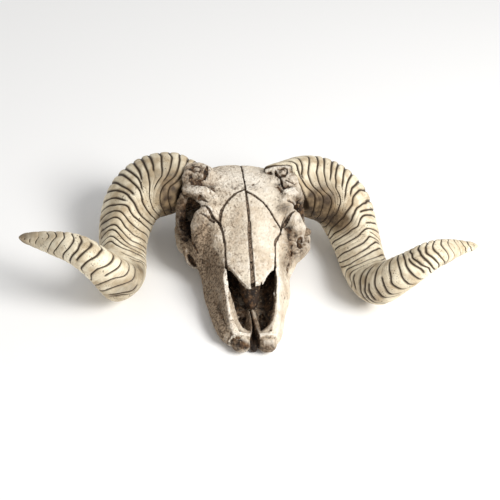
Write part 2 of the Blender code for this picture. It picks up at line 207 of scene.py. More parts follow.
def smooth_table(keys, rows, at):
    """Rows of numbers at increasing keys, read between them by a cubic through each
    with the mean slope of its neighbours, never past a peak."""
    keys, rows = np.asarray(keys, float), np.asarray(rows, float)
    gap = np.diff(keys)
    rise = np.diff(rows, axis=0) / gap.reshape((-1,) + (1,) * (rows.ndim - 1))
    slope = np.zeros_like(rows)
    same = rise[1:] * rise[:-1] > 0.0
    slope[1:-1] = np.where(
        same, 2.0 * rise[1:] * rise[:-1] / np.where(same, rise[1:] + rise[:-1], 1.0), 0.0
    )
    slope[0], slope[-1] = rise[0], rise[-1]
    i = np.clip(np.searchsorted(keys, at) - 1, 0, len(gap) - 1)
    shape = (-1,) + (1,) * (rows.ndim - 1)
    h = gap[i].reshape(shape)
    t = np.clip((at - keys[i]) / gap[i], 0.0, 1.0).reshape(shape)
    return (
        rows[i] * (1 + 2 * t) * (1 - t) ** 2 + slope[i] * h * t * (1 - t) ** 2
        + rows[i + 1] * t * t * (3 - 2 * t) + slope[i + 1] * h * t * t * (t - 1)
    )


def rounded_outline(points, parts=4):
    """A half outline with its corners rounded: a cubic through every point, level where
    it meets the midline. Works on a stack of outlines at once."""
    p = np.asarray(points, float)
    first, last = p[:, 1:2] * (-1, 1), p[:, -2:-1] * (-1, 1)
    q = np.concatenate((first, p, last), axis=1)
    a, b, c, d = q[:, :-3], q[:, 1:-2], q[:, 2:-1], q[:, 3:]
    out = []
    for k in range(parts):
        t = k / parts
        out.append(0.5 * (2 * b + (c - a) * t + (2 * a - 5 * b + 4 * c - d) * t * t
                          + (3 * b - a - 3 * c + d) * t**3))
    out = np.stack(out, axis=2).reshape(len(p), -1, 2)
    return np.concatenate((out, p[:, -1:]), axis=1)


def outline_distance(x, z, outline):
    """Signed distance from points to one half outline whose two ends lie on X = 0:
    the nearest of its straight runs, below zero where a ray to +X crosses it oddly."""
    a, b = outline[:-1], outline[1:]
    run = b - a
    px, pz = x[..., None] - a[:, 0], z[..., None] - a[:, 1]
    t = np.clip((px * run[:, 0] + pz * run[:, 1]) / ((run**2).sum(1) + 1e-9), 0.0, 1.0)
    gap = np.sqrt(((px - t * run[:, 0]) ** 2 + (pz - t * run[:, 1]) ** 2).min(-1))
    over = (a[:, 1] > z[..., None]) != (b[:, 1] > z[..., None])
    rise = np.where(run[:, 1] == 0, 1e-9, run[:, 1])
    meet = a[:, 0] + (z[..., None] - a[:, 1]) * run[:, 0] / rise
    inside = (over & (meet > x[..., None])).sum(-1) % 2 == 1
    return np.where(inside, -gap, gap)


def skinned(sections):
    """Distance to the skin through half outlines at each Y, worked out on every second
    point of the block and read between them, with flat ends."""
    keys = np.array(list(sections))
    rows = np.array(list(sections.values()), float)
    first = max(int((keys[0] - 10 - BLOCK_LOW[1]) / STEP) // 2 * 2, 0)
    last = min(int((keys[-1] + 10 - BLOCK_LOW[1]) / STEP) // 2 * 2 + 3, BLOCK_COUNT[1])
    y = edges[1][first:last:2]
    outlines = rounded_outline(smooth_table(keys, rows, np.clip(y, keys[0], keys[-1])))
    half = edges[0][edges[0] > -0.1][::2]
    x, z = np.meshgrid(half, edges[2][::2], indexing="ij")
    slabs = [outline_distance(x, z, outline) for outline in outlines]
    part = np.stack(slabs, axis=1)
    part = np.concatenate((part[:0:-1], part), axis=0).astype(np.float32)
    for axis in range(3):
        part = np.moveaxis(part, axis, 0)
        fine = np.empty((2 * len(part) - 1, *part.shape[1:]), np.float32)
        fine[::2] = part
        fine[1::2] = 0.5 * (part[1:] + part[:-1])
        part = np.moveaxis(fine, 0, axis)
    y = edges[1][first:first + part.shape[1]]
    ends = np.maximum(keys[0] - y, y - keys[-1])[None, :, None]
    part = np.maximum(part, ends)
    skip = (BLOCK_COUNT[0] - part.shape[0]) // 2
    cuts = (slice(skip, skip + part.shape[0]), slice(first, first + part.shape[1]),
            slice(0, part.shape[2]))
    return cuts, part


def ball(centre, radii, turn=0.0):
    """Distance to an egg with three radii, turned about Z by degrees: for k = |p / r|
    and m = |p / r^2| it is k (k - 1) / m."""
    reach = max(radii)
    cuts, x, y, z = patch(np.array(centre) - reach, np.array(centre) + reach)
    c, s = math.cos(math.radians(turn)), math.sin(math.radians(turn))
    dx, dy, dz = x - centre[0], y - centre[1], z - centre[2]
    u, v, w = (dx * c + dy * s) / radii[0], (dy * c - dx * s) / radii[1], dz / radii[2]
    k = np.sqrt(u * u + v * v + w * w)
    m = np.sqrt((u / radii[0]) ** 2 + (v / radii[1]) ** 2 + (w / radii[2]) ** 2)
    return cuts, k * (k - 1.0) / np.maximum(m, 1e-4)


def bar(points, radii):
    """Distance to a round bar through points: the nearest of its straight runs, less a
    radius that changes evenly along each."""
    points, radii = np.asarray(points, float), np.asarray(radii, float)
    reach = radii.max()
    cuts, x, y, z = patch(points.min(0) - reach, points.max(0) + reach)
    best = None
    for a, b, ra, rb in zip(points, points[1:], radii, radii[1:]):
        run = b - a
        t = ((x - a[0]) * run[0] + (y - a[1]) * run[1] + (z - a[2]) * run[2]) / (run @ run)
        t = np.clip(t, 0.0, 1.0)
        gap = np.sqrt((x - a[0] - t * run[0]) ** 2 + (y - a[1] - t * run[1]) ** 2
                      + (z - a[2] - t * run[2]) ** 2) - (ra + t * (rb - ra))
        best = gap if best is None else np.minimum(best, gap)
    return cuts, best


# Half outlines of the head at each Y, from the midline of the roof to that of the base
HEAD_SECTIONS = {
    -184.0: ((0, 21), (8, 22), (15, 24), (22.5, 24), (26.5, 17), (27.5, 10), (25, 5), (15, 4),
             (0, 5)),
    -174.0: ((0, 25), (12, 26), (21, 29), (27.5, 28), (31.5, 18), (33.5, 10), (30, 5), (16, 5),
             (0, 7)),
    -164.0: ((0, 29), (12, 30), (22, 33), (28.7, 32), (33.5, 19), (36.5, 10), (32, 5), (17, 5),
             (0, 8)),
    -150.0: ((0, 35), (14, 36), (24, 38), (30.3, 37), (35.5, 21), (39.5, 10), (36, 5), (20, 7),
             (0, 9)),
    -136.0: ((0, 50), (14, 47), (25, 43.5), (31.2, 42), (38, 24), (43, 11), (39, 6), (24, 8),
             (0, 11)),
    -120.0: ((0, 59), (15, 57), (27, 51.5), (33.5, 49), (41, 28), (48, 13), (44, 8), (28, 9),
             (0, 13)),
    -105.0: ((0, 66), (15, 64), (29, 58), (35, 49), (43, 31), (50.5, 16), (46, 9), (32, 9),
             (0, 14)),
    -90.0: ((0, 72), (16, 71), (31, 65), (38, 54), (45, 36), (51, 20), (47, 10), (34, 9), (0, 15)),
    -75.0: ((0, 78), (17, 77), (34, 74), (46, 64), (52, 46), (55, 28), (48, 13), (35, 10), (0, 15)),
    -60.0: ((0, 84), (20, 83), (38, 79), (48, 69), (53, 53), (55, 37), (46, 17), (34, 12), (0, 16)),
    -45.0: ((0, 89), (24, 88), (44, 85), (50, 78), (43, 62), (40, 42), (34, 22), (24, 14), (0, 20)),
    -30.0: ((0, 92), (28, 91), (54, 88), (56, 80), (35, 68), (29, 46), (23, 32), (14, 27), (0, 27)),
    -12.0: ((0, 94), (30, 93), (56, 89), (58, 80), (38, 68), (33, 46), (25, 30), (14, 23), (0, 22)),
    6.0: ((0, 93), (24, 93), (41, 91), (46, 78), (43, 60), (38, 42), (31, 28), (16, 19), (0, 18)),
    24.0: ((0, 90), (22, 89), (38, 87), (44, 70), (43, 54), (40, 40), (32, 27), (17, 18), (0, 16)),
    42.0: ((0, 84), (20, 83), (35, 78), (40, 63), (41, 50), (38, 37), (31, 25), (16, 17), (0, 15)),
    55.0: ((0, 72), (16, 71), (30, 65), (36, 54), (37, 44), (33, 33), (25, 23), (13, 17), (0, 16)),
    62.0: ((0, 60), (12, 59), (24, 54), (29, 48), (30, 41), (27, 33), (20, 26), (10, 21), (0, 20)),
}
add(*skinned(HEAD_SECTIONS), 0.5)

# The muzzle leans a little to its right, and its right wall bulges low down
MUZZLE_LEAN, LEAN_START, LEAN_LENGTH = 1.0, -108, 24
lean = MUZZLE_LEAN / STEP * np.clip((LEAN_START - edges[1]) / LEAN_LENGTH, 0, 1)
source = np.minimum(np.arange(BLOCK_COUNT[0])[:, None] + lean, BLOCK_COUNT[0] - 1.001)
share = (source % 1.0).astype(np.float32)[..., None]
source = source.astype(int)[..., None]
head = ((1 - share) * np.take_along_axis(head, source, 0)
        + share * np.take_along_axis(head, source + 1, 0))
WALL_BULGE = (((-38, -122, 15), (-37.5, -136, 14.5), (-35.5, -150, 14), (-32.5, -164, 13.5),
               (-29.5, -173, 13)), (8.5, 9.3, 9.3, 9.3, 8.5))
add(*bar(*WALL_BULGE), 4.0)

# Arches and knobs of both sides, as bars and eggs
SIDE_BARS = {
    "cheek": (((48, -84, 27), (54, -70, 35), (62, -60, 38), (68, -50, 37), (71, -38, 39),
               (72, -28, 41)), (6, 8, 10, 10.5, 9, 7)),
    "arch": (((72, -28, 41), (72, -12, 39), (67, 6, 39), (57, 22, 39), (42, 32, 38)),
             (6.5, 5.5, 5.5, 6, 7)),
    "jugular": (((30, 50, 34), (31, 51, 16), (29, 47, 4.2)), (9, 6.5, 4)),
    "ear_canal": (((34, 34, 36), (46, 32, 36)), (8, 6)),
    "pterygoid": (((15, -38, 22), (14, -22, 16), (14, -4, 20)), (4, 3, 3)),
}
SIDE_BALLS = {
    "ear_shelf": ((50, 8, 35), (21, 20, 6.5)),
    "mastoid": ((42, 30, 38), (16, 15, 12)),
    "condyle": ((13, 60, 24), (8, 8, 10)),
    "bulla": ((25, 28, 17), (8, 12, 9)),
}
MUZZLE_TIP = ((14.4, -186, 11), (11, 9.3, 9.5))
# A low web of bone between the two tips
TIP_WEB = (((0, -174, 8), (0, -182, 6.5), (0, -187, 5)), (6, 5.5, 4))
HORN_CORE = (((34, 8, 72), (54, 13, 74), (92, 24, 66)), (22, 28, 31))
for side in (1.0, -1.0):
    for points, radii in [*SIDE_BARS.values(), HORN_CORE]:
        add(*bar([(side * x, y, z) for x, y, z in points], radii))
    for (x, y, z), radii in SIDE_BALLS.values():
        add(*ball((side * x, y, z), radii))
    (x, y, z), radii = MUZZLE_TIP
    add(*ball((side * x, y, z), radii), 1.0)
add(*bar(*TIP_WEB), 1.0)

# Rims round the eyes and burrs at the roots of the horns, which differ from side to side:
# each bar with its softness
EYE_BARS = {
    "left lobe": (((45, -43, 84), (52, -50, 80), (57, -58, 72), (56, -64, 59), (55, -68, 46)),
                  (8, 9.3, 9.8, 9.5, 10), 7.0),
    "left bar": (((48, -20, 86), (57, -11, 88), (63, -9, 80), (66, -13, 67), (67, -24, 54),
                  (69, -36, 43)), (6, 6, 6, 6, 6, 7), 3.0),
    "left brow": (((41, -33, 87), (48, -20, 89.5), (55, -15, 89), (60, -15, 86)),
                  (4, 7.5, 7.5, 7), 2.0),
    "left knob": (((62, -56, 64), (70.5, -53.5, 63)), (5.4, 4.6), 1.2),
    "left burr": (((38, 16, 95), (46, 12, 97)), (4.5, 5.5), 1.5),
    "left burr front": (((41, 4, 94), (47, -1, 94.5), (52, -4, 93)), (3, 4.5, 4), 1.5),
    "left burr back": (((28.5, 20.5, 93.5), (36, 19, 97.8), (44, 18.5, 99.5), (53, 18, 100.3)),
                       (2.6, 3, 3, 3), 1.5),
    "right lobe": (((-46, -44, 83), (-53, -50, 80), (-57, -57, 73), (-55, -64, 60),
                    (-53, -68, 46)), (8, 9.2, 9.5, 9.3, 10), 7.0),
    "right bar": (((-50, -22, 86), (-64, -13, 88), (-71, -12, 80), (-74, -16, 67),
                   (-74, -26, 54), (-71, -36, 43)), (6, 6, 6, 6, 6, 7), 3.0),
    "right brow": (((-38, -27, 87), (-49, -20, 89), (-58, -18, 89), (-69, -14, 89)),
                   (6.5, 8.5, 8, 6), 1.5),
    "right pocket back": (((-63, -61, 33), (-54, -64, 27)), (7.5, 9), 2.0),
    "right socket floor": (((-50, -26, 44), (-64, -24, 40)), (8, 8), 4.0),
    "left socket floor": (((50, -26, 44), (64, -24, 40)), (8, 8), 4.0),
    "right burr": (((-56, 8, 95), (-57, 8, 96)), (9, 8), 1.0),
    "right burr side": (((-66, 12, 98), (-70, 0, 95), (-68, -9, 92)), (6, 5, 4), 1.5),
}
for points, radii, soft in EYE_BARS.values():
    add(*bar(points, radii), soft)

# Upper grinding teeth: six on each side, broader and farther out towards the back
TEETH = 6
TOOTH_ROW = (-121.0, -56.0)
TOOTH_ROOT, TOOTH_FOOT = 16.0, 0.5


def plan_distance(x, y, outline):
    """Signed distance in plan from points to a closed outline: the nearest of its
    straight runs, below zero where a ray to +X crosses it oddly."""
    a = np.asarray(outline, float)
    b = np.roll(a, -1, axis=0)
    best, odd = None, np.zeros(np.broadcast(x, y).shape, bool)
    for (ax, ay), (bx, by) in zip(a, b):
        rx, ry = bx - ax, by - ay
        t = np.clip(((x - ax) * rx + (y - ay) * ry) / (rx * rx + ry * ry), 0.0, 1.0)
        gap = (x - ax - t * rx) ** 2 + (y - ay - t * ry) ** 2
        best = gap if best is None else np.minimum(best, gap)
        if ry:
            odd ^= ((ay > y) != (by > y)) & (ax + (y - ay) * rx / ry > x)
    best = np.sqrt(best)
    return np.where(odd, -best, best)


def prism(outline, low, high):
    """Distance to an outline in plan that stands between two heights."""
    plan = np.asarray(outline, float)
    cuts, x, y, z = patch((*plan.min(0), low), (*plan.max(0), high))
    side = plan_distance(x[..., 0], y[..., 0], plan)[..., None]
    return cuts, np.maximum(side, np.maximum(low - z, z - high))


for side in (1.0, -1.0):
    for number in range(TEETH):
        share = number / (TEETH - 1.0)
        x = side * (31.0 + 6.0 * math.sin(0.5 * math.pi * share))
        y = TOOTH_ROW[0] + share * (TOOTH_ROW[1] - TOOTH_ROW[0])
        turn = np.radians(np.arange(0.0, 360.0, 15.0))
        reach = 1.0 + 0.12 * np.cos(4.0 * turn) * (0.3 + share)
        crown = np.stack((x + (4.5 + 1.6 * share) * reach * np.cos(turn),
                          y + (5.0 + 1.3 * share) * reach * np.sin(turn)), -1)
        add(*prism(crown, TOOTH_FOOT, TOOTH_ROOT), 1.0)

# ------------------------------------------------------------------ hollows of the head
# The nose, the eye sockets, the slots of the palate, the throat and the hole for the
# spinal cord are open in a cleaned skull. They are carved out of the mass.

# Half outline of the nose's hollow at each Y; its floor carries two ridges in front
NOSE_SECTIONS = {
    -180.0: ((0, 60), (12, 60), (17, 50), (18, 26), (16, 20), (12, 18), (8, 20), (5, 23), (0, 24)),
    -165.0: ((0, 70), (14, 70), (21, 60), (22, 30), (20, 19), (12, 15), (8, 17), (5, 23), (0, 25)),
    -150.0: ((0, 75), (15, 75), (23, 60), (24, 34), (22, 21), (14, 15), (7, 17), (4, 23), (0, 25)),
    -135.0: ((0, 47), (12, 45), (22, 41), (25, 35), (23, 24), (16, 17), (10, 17), (4, 19), (0, 21)),
    -120.0: ((0, 55.3), (13, 53.8), (24, 48.5), (27, 40), (25, 29), (20, 22), (14, 19), (7, 18),
             (0, 19)),
    -100.0: ((0, 64), (12, 63), (23, 58), (28, 48), (27, 37), (22, 29), (16, 24), (8, 22), (0, 22)),
    -78.0: ((0, 70), (10, 69), (18, 65), (23, 56), (22, 48), (18, 41), (13, 37), (7, 34), (0, 33)),
    -66.0: ((0, 64), (5, 63), (9, 60), (11, 56), (11, 52), (9, 49), (6, 47), (3, 46), (0, 46)),
}
# Free edge of the nasal bones in plan, from one side of the nose to the other
NASAL_EDGE = ((27, -107.5), (24.5, -111), (21.5, -115), (18, -119), (14.5, -124.5), (12, -129),
              (10.4, -130.3), (10.2, -128.6), (8.8, -128.2), (8.4, -131), (5, -131.8),
              (2.4, -132.6), (1.6, -130.5), (-1.4, -131.5), (-1.8, -136), (-4.2, -136.8),
              (-8, -134), (-12, -129.8), (-16, -125), (-20, -119), (-23, -114), (-26, -110),
              (-28.5, -107.5))
# The inner edges of the nose's rims, which fall away in a rounded slope
NOSE_BEVELS = {
    "right": (((-24, -124, 52), (-23.5, -134, 48), (-22.5, -146, 40.5), (-20.5, -158, 37),
               (-18, -170, 33), (-14, -178, 30)), (3.5, 5, 5.5, 6, 6, 5)),
    "left": (((23.5, -130, 49.5), (22, -146, 40.5), (19, -160, 36), (16.5, -172, 32)),
             (3.2, 4, 4, 4)),
}
# A ledge along the inner wall of each rim
NOSE_LEDGES = {
    "right": (((-26.5, -122, 38), (-26, -132, 35), (-24.8, -146, 31), (-22.8, -158, 27.5),
               (-19.8, -168, 24.5), (-15.5, -175, 22), (-9, -177.5, 20)),
              (0.8, 2.6, 4.2, 4.4, 4.2, 3.6, 3)),
    "left": (((28, -128, 42), (26.8, -144, 37), (24.8, -158, 32), (22, -168, 28),
              (16, -175.5, 24), (8, -178, 20)), (0.8, 2.6, 3.6, 4, 3.6, 2.6)),
}
PALATE_SLOTS = (
    ((8.5, -172), (14, -173), (17.5, -166), (17, -150), (14, -141), (10, -144), (8, -154)),
    ((-8, -172), (-13, -174), (-17, -166), (-18, -152), (-12, -146), (-6, -149), (-7, -160)),
)
NOTCH = ((-4, -215), (3, -215), (3.4, -197), (5, -190), (5, -185), (3.6, -179), (1.2, -173),
         (0.2, -164), (-0.8, -152), (-1.6, -142), (-2.6, -142), (-1.8, -158), (-1.8, -170),
         (-3, -178), (-5, -184), (-5.4, -190), (-4.6, -197))

# Distances to what has been hollowed out, whose walls get more wash and painted shade than the rest
hollow = np.full(BLOCK_COUNT, 30.0, np.float32)


def hollowed(cuts, distance, soft):
    """Carve, and keep the distance for the wash and painted shade."""
    carve(cuts, distance, soft)
    hollow[cuts] = np.minimum(hollow[cuts], distance)


hollowed(*skinned(NOSE_SECTIONS), 0.6)
carve(*prism([*NASAL_EDGE, (-28, -118), (-25, -150), (-21, -178), (21, -178), (25, -150),
              (28, -118)], 40, 120), 0.3)
hollowed(*bar(((0, 76, 40), (0, 50, 37), (0, 40, 36)), (11, 10, 7)), 1.5)
hollowed(*prism(NOTCH, 9.5, 60), 0.6)
for points, radii in NOSE_BEVELS.values():
    carve(*bar(points, radii), 1.0)
for points, radii in NOSE_LEDGES.values():
    add(*bar(points, radii), 1.5)
for slot in PALATE_SLOTS:
    hollowed(*prism(slot, 11, 28), 1.0)
for side in (1.0, -1.0):
    hollowed(*ball((side * 57, -34, 66), (31, 12.5, 19), -side * 14), 1.2)
    hollowed(*bar([(side * 7, -62, 18), (side * 7, -30, 18), (side * 7, -8, 12)], (7, 8, 8)), 1.5)
# Pits in the cheeks, and the thin rim under the right one
CHEEK_PITS = {
    "right malar": (((-75, -49, 50), (-69, -53, 47)), (3.2, 2.8)),
    "right pocket": (((-66.5, -72.5, 35), (-61, -75, 28)), (5.0, 5.2)),
    "right crease": (((-65, -64, 54), (-62.5, -71, 55), (-59, -76, 51), (-57, -79, 46)),
                     (1.8, 1.7, 1.2, 0.7)),
    "right brow": (((-54.5, -27, 90.5), (-56, -28, 87)), (1.5, 1.4)),
    "left cavity": (((61.5, -73, 65), (61.5, -71, 59), (64, -62, 54)), (5.3, 5.6, 5.4)),
    "left cavity low": (((76, -47, 44), (70, -56, 40)), (1.6, 2.2)),
}
for points, radii in CHEEK_PITS.values():
    hollowed(*bar(points, radii), 1.0)
CHEEK_RIMS = {
    "right pocket": (((-69, -66, 44), (-69.5, -69, 37), (-67, -70, 29), (-60, -71, 23),
                      (-50, -72, 21)), (2.6, 2.0, 2.0, 2.2, 3.2)),
    "left blob": (((64.2, -66, 61.5), (64, -65.5, 57)), (2.2, 2.4)),
}
for points, radii in CHEEK_RIMS.values():
    add(*bar(points, radii), 1.0)


# ------------------------------------------------------------------ seats of the horns
# Each horn sheath slips over a core of bone, and the bone ends at the sheath's rim. Here
# are the horn's curve and size, which its seat in the bone needs first.

# Centre and radius of the horn at equal steps of its course, from base to tip
HORN_STATIONS = (
    (62.5, 18.0, 74.0, 33.5), (92.0, 23.5, 66.0, 37.0), (121.0, 12.0, 54.5, 34.5),
    (138.0, -20.5, 34.5, 29.5), (141.5, -63.5, 26.5, 26.0), (145.5, -106.5, 35.0, 25.0),
    (161.5, -129.0, 65.0, 20.5), (193.5, -130.0, 93.0, 16.5), (229.5, -105.0, 84.5, 12.0),
    (258.4, -103.0, 88.8, 5.0),
)
SEAT_GAP = 0.4


def natural_spline(values, at):
    """Cubic spline with free ends through equally spaced values, at positions at."""
    values = np.asarray(values, float)
    count = len(values)
    system = np.eye(count)
    right = np.zeros_like(values)
    inner = np.arange(1, count - 1)
    system[inner, inner - 1], system[inner, inner], system[inner, inner + 1] = 1.0, 4.0, 1.0
    right[inner] = 6.0 * (values[inner - 1] - 2.0 * values[inner] + values[inner + 1])
    bend = np.linalg.solve(system, right)
    i = np.clip(np.floor(at).astype(int), 0, count - 2)
    b = (at - i)[:, None]
    a = 1.0 - b
    chord = a * values[i] + b * values[i + 1]
    return chord + ((a**3 - a) * bend[i] + (b**3 - b) * bend[i + 1]) / 6.0


seat = natural_spline(HORN_STATIONS, np.linspace(0.0, 2.0, 15))
ahead = seat[1, :3] - seat[0, :3]
ahead /= np.linalg.norm(ahead)
for side in (1.0, -1.0):
    low = (seat[:, :3] - seat[:, 3:]).min(0)
    high = (seat[:, :3] + seat[:, 3:]).max(0)
    if side < 0.0:
        low[0], high[0] = -high[0], -low[0]
    cuts, x, y, z = patch(low, high)
    behind = (seat[0, 0] - side * x) * ahead[0] + (seat[0, 1] - y) * ahead[1]
    behind = behind + (seat[0, 2] - z) * ahead[2]
    tube = None
    for cx, cy, cz, r in seat:
        gap = np.sqrt((side * x - cx) ** 2 + (y - cy) ** 2 + (z - cz) ** 2) - r
        tube = gap if tube is None else np.minimum(tube, gap)
    carve(cuts, np.maximum(tube, behind) - SEAT_GAP, 0.3)


# ------------------------------------------------------------------ cracks and sutures
# The bones of the roof meet in sutures, which are cracks a millimetre or two wide and
# filled with brown dirt. The one between the nasal bones widens towards the nose.

lattice = np.random.RandomState(11).rand(32, 32, 32).astype(np.float32)


def noise(points, cell, shift=0.0):
    """Smooth noise between -1 and 1: random heights at the corners of cubes of a size,
    blended between them by 3 t^2 - 2 t^3 along each side."""
    p = np.asarray(points, np.float32) / cell + np.float32(shift)
    base = np.floor(p)
    t = p - base
    t = t * t * (3.0 - 2.0 * t)
    i = base.astype(np.int64) % 32
    j = (i + 1) % 32
    total = 0.0
    for a in (0, 1):
        for b in (0, 1):
            for c in (0, 1):
                share = ((t[..., 0] if a else 1 - t[..., 0]) * (t[..., 1] if b else 1 - t[..., 1])
                         * (t[..., 2] if c else 1 - t[..., 2]))
                total = total + share * lattice[(j if a else i)[..., 0], (j if b else i)[..., 1],
                                                (j if c else i)[..., 2]]
    return 2.0 * total - 1.0


def grain(points, cell, octaves=3, shift=0.0):
    """Sum of noises, each half the size and strength of the last."""
    return sum(noise(points, cell / 2**k, shift + 7.3 * k) / 2**k for k in range(octaves))


# Each crack as plan places with its half width there, then its depth
CRACKS = {
    "midline": (((0.5, 50, 0.7), (0.3, 32, 0.6), (0, 21, 0.8), (-1, 9, 0.7), (-0.8, 0, 0.6),
                 (-0.8, -9, 0.7), (-1, -18, 1.0), (-1, -28, 1.2), (-0.9, -38, 1.5),
                 (-0.5, -47, 1.7), (-0.9, -54, 1.1), (-0.8, -58, 1.0), (-0.3, -62, 1.7),
                 (-0.8, -69, 2.2), (-1.2, -78, 2.2), (-0.9, -86, 2.1), (-1.0, -94, 2.3),
                 (-0.7, -102, 2.3), (-0.6, -109, 2.2), (-0.7, -116, 2.4), (-0.5, -124, 2.3),
                 (-0.4, -134, 2.6)), 1.2),
    "arch right": (((-0.8, -14.5, 1.0), (-8, -18.5, 1.0), (-14, -23, 1.2), (-20, -29.5, 1.2),
                    (-24, -34.5, 1.0), (-27, -39.5, 1.1), (-30.5, -45, 1.3), (-32.2, -50, 1.5),
                    (-33.3, -56, 1.2), (-34, -61, 1.0)), 1.6),
    "side right": (((-34, -61, 1.2), (-32.3, -67, 1.2), (-31.2, -73, 1.1), (-30.2, -79, 1.1),
                    (-29.2, -85, 1.0), (-29, -91, 0.8), (-29, -97, 0.9), (-29, -103, 1.1),
                    (-28.4, -109, 1.4)), 1.3),
    "arch left": (((-0.6, -18, 1.2), (4, -21.5, 1.4), (9, -25.5, 1.4), (14, -30.5, 1.2),
                   (18.5, -36, 0.9), (22, -41.5, 0.8), (25, -47, 0.8), (28, -53, 0.9),
                   (31, -58, 0.9), (34, -62, 1.0), (36.6, -65, 1.2)), 1.4),
    "side left": (((36.6, -65, 1.0), (35.6, -70, 0.6), (33, -75, 0.9), (30, -79.5, 1.6),
                   (28.4, -82.5, 1.4), (28, -88, 0.6), (28, -95, 0.5), (27.4, -101, 0.8),
                   (27, -109, 1.2)), 1.2),
    "tear right": (((-53, -38, 0.5), (-48.5, -45, 0.9), (-44.8, -50, 1.6), (-41.5, -53.5, 1.4),
                    (-38, -57, 1.2), (-34, -61, 1.0)), 2.0),
    "tear thin": (((-57, -53, 0.3), (-51, -56, 0.7), (-44, -55.5, 0.6), (-40, -58, 0.8)), 0.8),
    "tear left": (((37, -64, 0.8), (39.6, -60.5, 1.6), (42.6, -56.8, 2.1), (46, -53.8, 1.7),
                   (49.5, -51, 1.0), (53, -48.5, 0.4)), 2.2),
    "tear low": (((37.5, -62, 0.4), (38.6, -57.5, 0.5), (41.5, -53, 0.4)), 0.6),
}
# The heights above which the cracks and the crevices are
CRACK_FLOOR, CREVICE_FLOOR = 42.0, 82.0
# A crack's edges wander by these millimetres and its depth by this share, and this is how
# steep its walls are
EDGE_WANDER, DEPTH_WANDER, WALL_SLOPE = 0.35, 0.35, 0.8


def crack_distance(x, y, places):
    """Distance in plan to the nearest run of a crack, less its half width there."""
    best = None
    for (ax, ay, aw), (bx, by, bw) in zip(places, places[1:]):
        rx, ry = bx - ax, by - ay
        t = np.clip(((x - ax) * rx + (y - ay) * ry) / (rx * rx + ry * ry), 0.0, 1.0)
        gap = np.hypot(x - ax - t * rx, y - ay - t * ry) - (aw + t * (bw - aw))
        best = gap if best is None else np.minimum(best, gap)
    return best


# Wider crevices round the knobs of the horns and of the brow, in the same way
CREVICES = {
    "burr right": (((-43, 20, 0.8), (-44.5, 13, 1.8), (-46, 6, 2.4), (-48, -1.5, 1.2),
                    (-54, -4, 0.5)), 2.4),
    "burr right ring": (((-59, 4, 0.3), (-54, 3.5, 0.6), (-52, 8, 0.6), (-55, 12, 0.3)), 1.2),
    "brow right": (((-46, -35, 0.7), (-50, -30.5, 1.2), (-54, -28, 1.6), (-58, -29, 1.0)), 2.6),
    "burr left": (((37, 14, 0.7), (38.5, 9, 1.4), (41, 4, 0.9), (44.5, -8.5, 0.7),
                   (48, -12, 0.9), (54, -10.5, 0.8), (58, -9, 0.6)), 2.4),
    "burr left ring": (((42, 14, 0.6), (46.5, 16.5, 0.7), (50.5, 14, 0.7), (50, 8, 0.9),
                        (47, 5, 1.1), (44, 6, 0.7)), 1.8),
    "burr left facet": (((47, -2, 0.6), (51, -4, 0.7), (56, -4.5, 0.5)), 1.4),
    "brow left": (((46.5, -31, 0.6), (49.5, -30, 1.1), (53, -30.5, 1.2), (55, -32.5, 0.6)), 1.6),
    "tip right": (((-30, -177, 0.5), (-27, -183, 0.8), (-21, -186.5, 1.0), (-14, -187, 1.0),
                   (-6, -186, 0.7)), 1.6),
    "tip left": (((29, -178, 0.4), (25, -184, 0.6), (17, -186.5, 0.6), (7, -186, 0.4)), 1.0),
    "brow left stain": (((38.5, -8, 1.2), (39.5, -12, 1.0), (41, -17, 0.7)), 0.8),
}
for places, depth in [*CRACKS.values(), *CREVICES.values()]:
    plan = np.array(places)
    cuts, x, y, z = patch((*plan.min(0)[:2], CRACK_FLOOR + 8), (*plan.max(0)[:2], 110))
    spot = np.stack(np.broadcast_arrays(x, y, np.float32(3.0)), -1)[:, :, 0]
    gap = crack_distance(x[..., 0], y[..., 0], places) + EDGE_WANDER * grain(spot, 5.0)
    floor = depth * (1.0 + DEPTH_WANDER * grain(spot, 3.0, 2, 9.0))
    mass = head[cuts]
    walls = -WALL_SLOPE * gap[..., None]
    head[cuts] = np.maximum(mass, np.minimum(walls, mass + floor[..., None]))


# ------------------------------------------------------------------ bones
# Dry bone, ivory and pitted. Each bone of the head is its own piece, which ends at the
# sutures; a brown wash with painted shade darkens recesses and pits, and painted highlight
# lightens edges and some top faces.

SUTURE_GAP = -0.5
WANDER, WANDER_CELL = 0.5, 5.0


def wandered(x, y):
    """Plan places moved by some noise, so that edges drawn in plan wander as sutures do."""
    flat = np.stack(np.broadcast_arrays(x, y, np.float32(3.0)), -1)
    return x + WANDER * grain(flat, WANDER_CELL), y + WANDER * grain(flat, WANDER_CELL, 3, 40.0)


# Rooms in plan of the cheek bone and of the upper jaw, the same on both sides
CHEEK_ROOM = ((46, -58), (53, -86), (95, -86), (95, 10), (46, 10))
JAW_ROOM = ((0, -160), (90, -160), (90, -46), (0, -46))
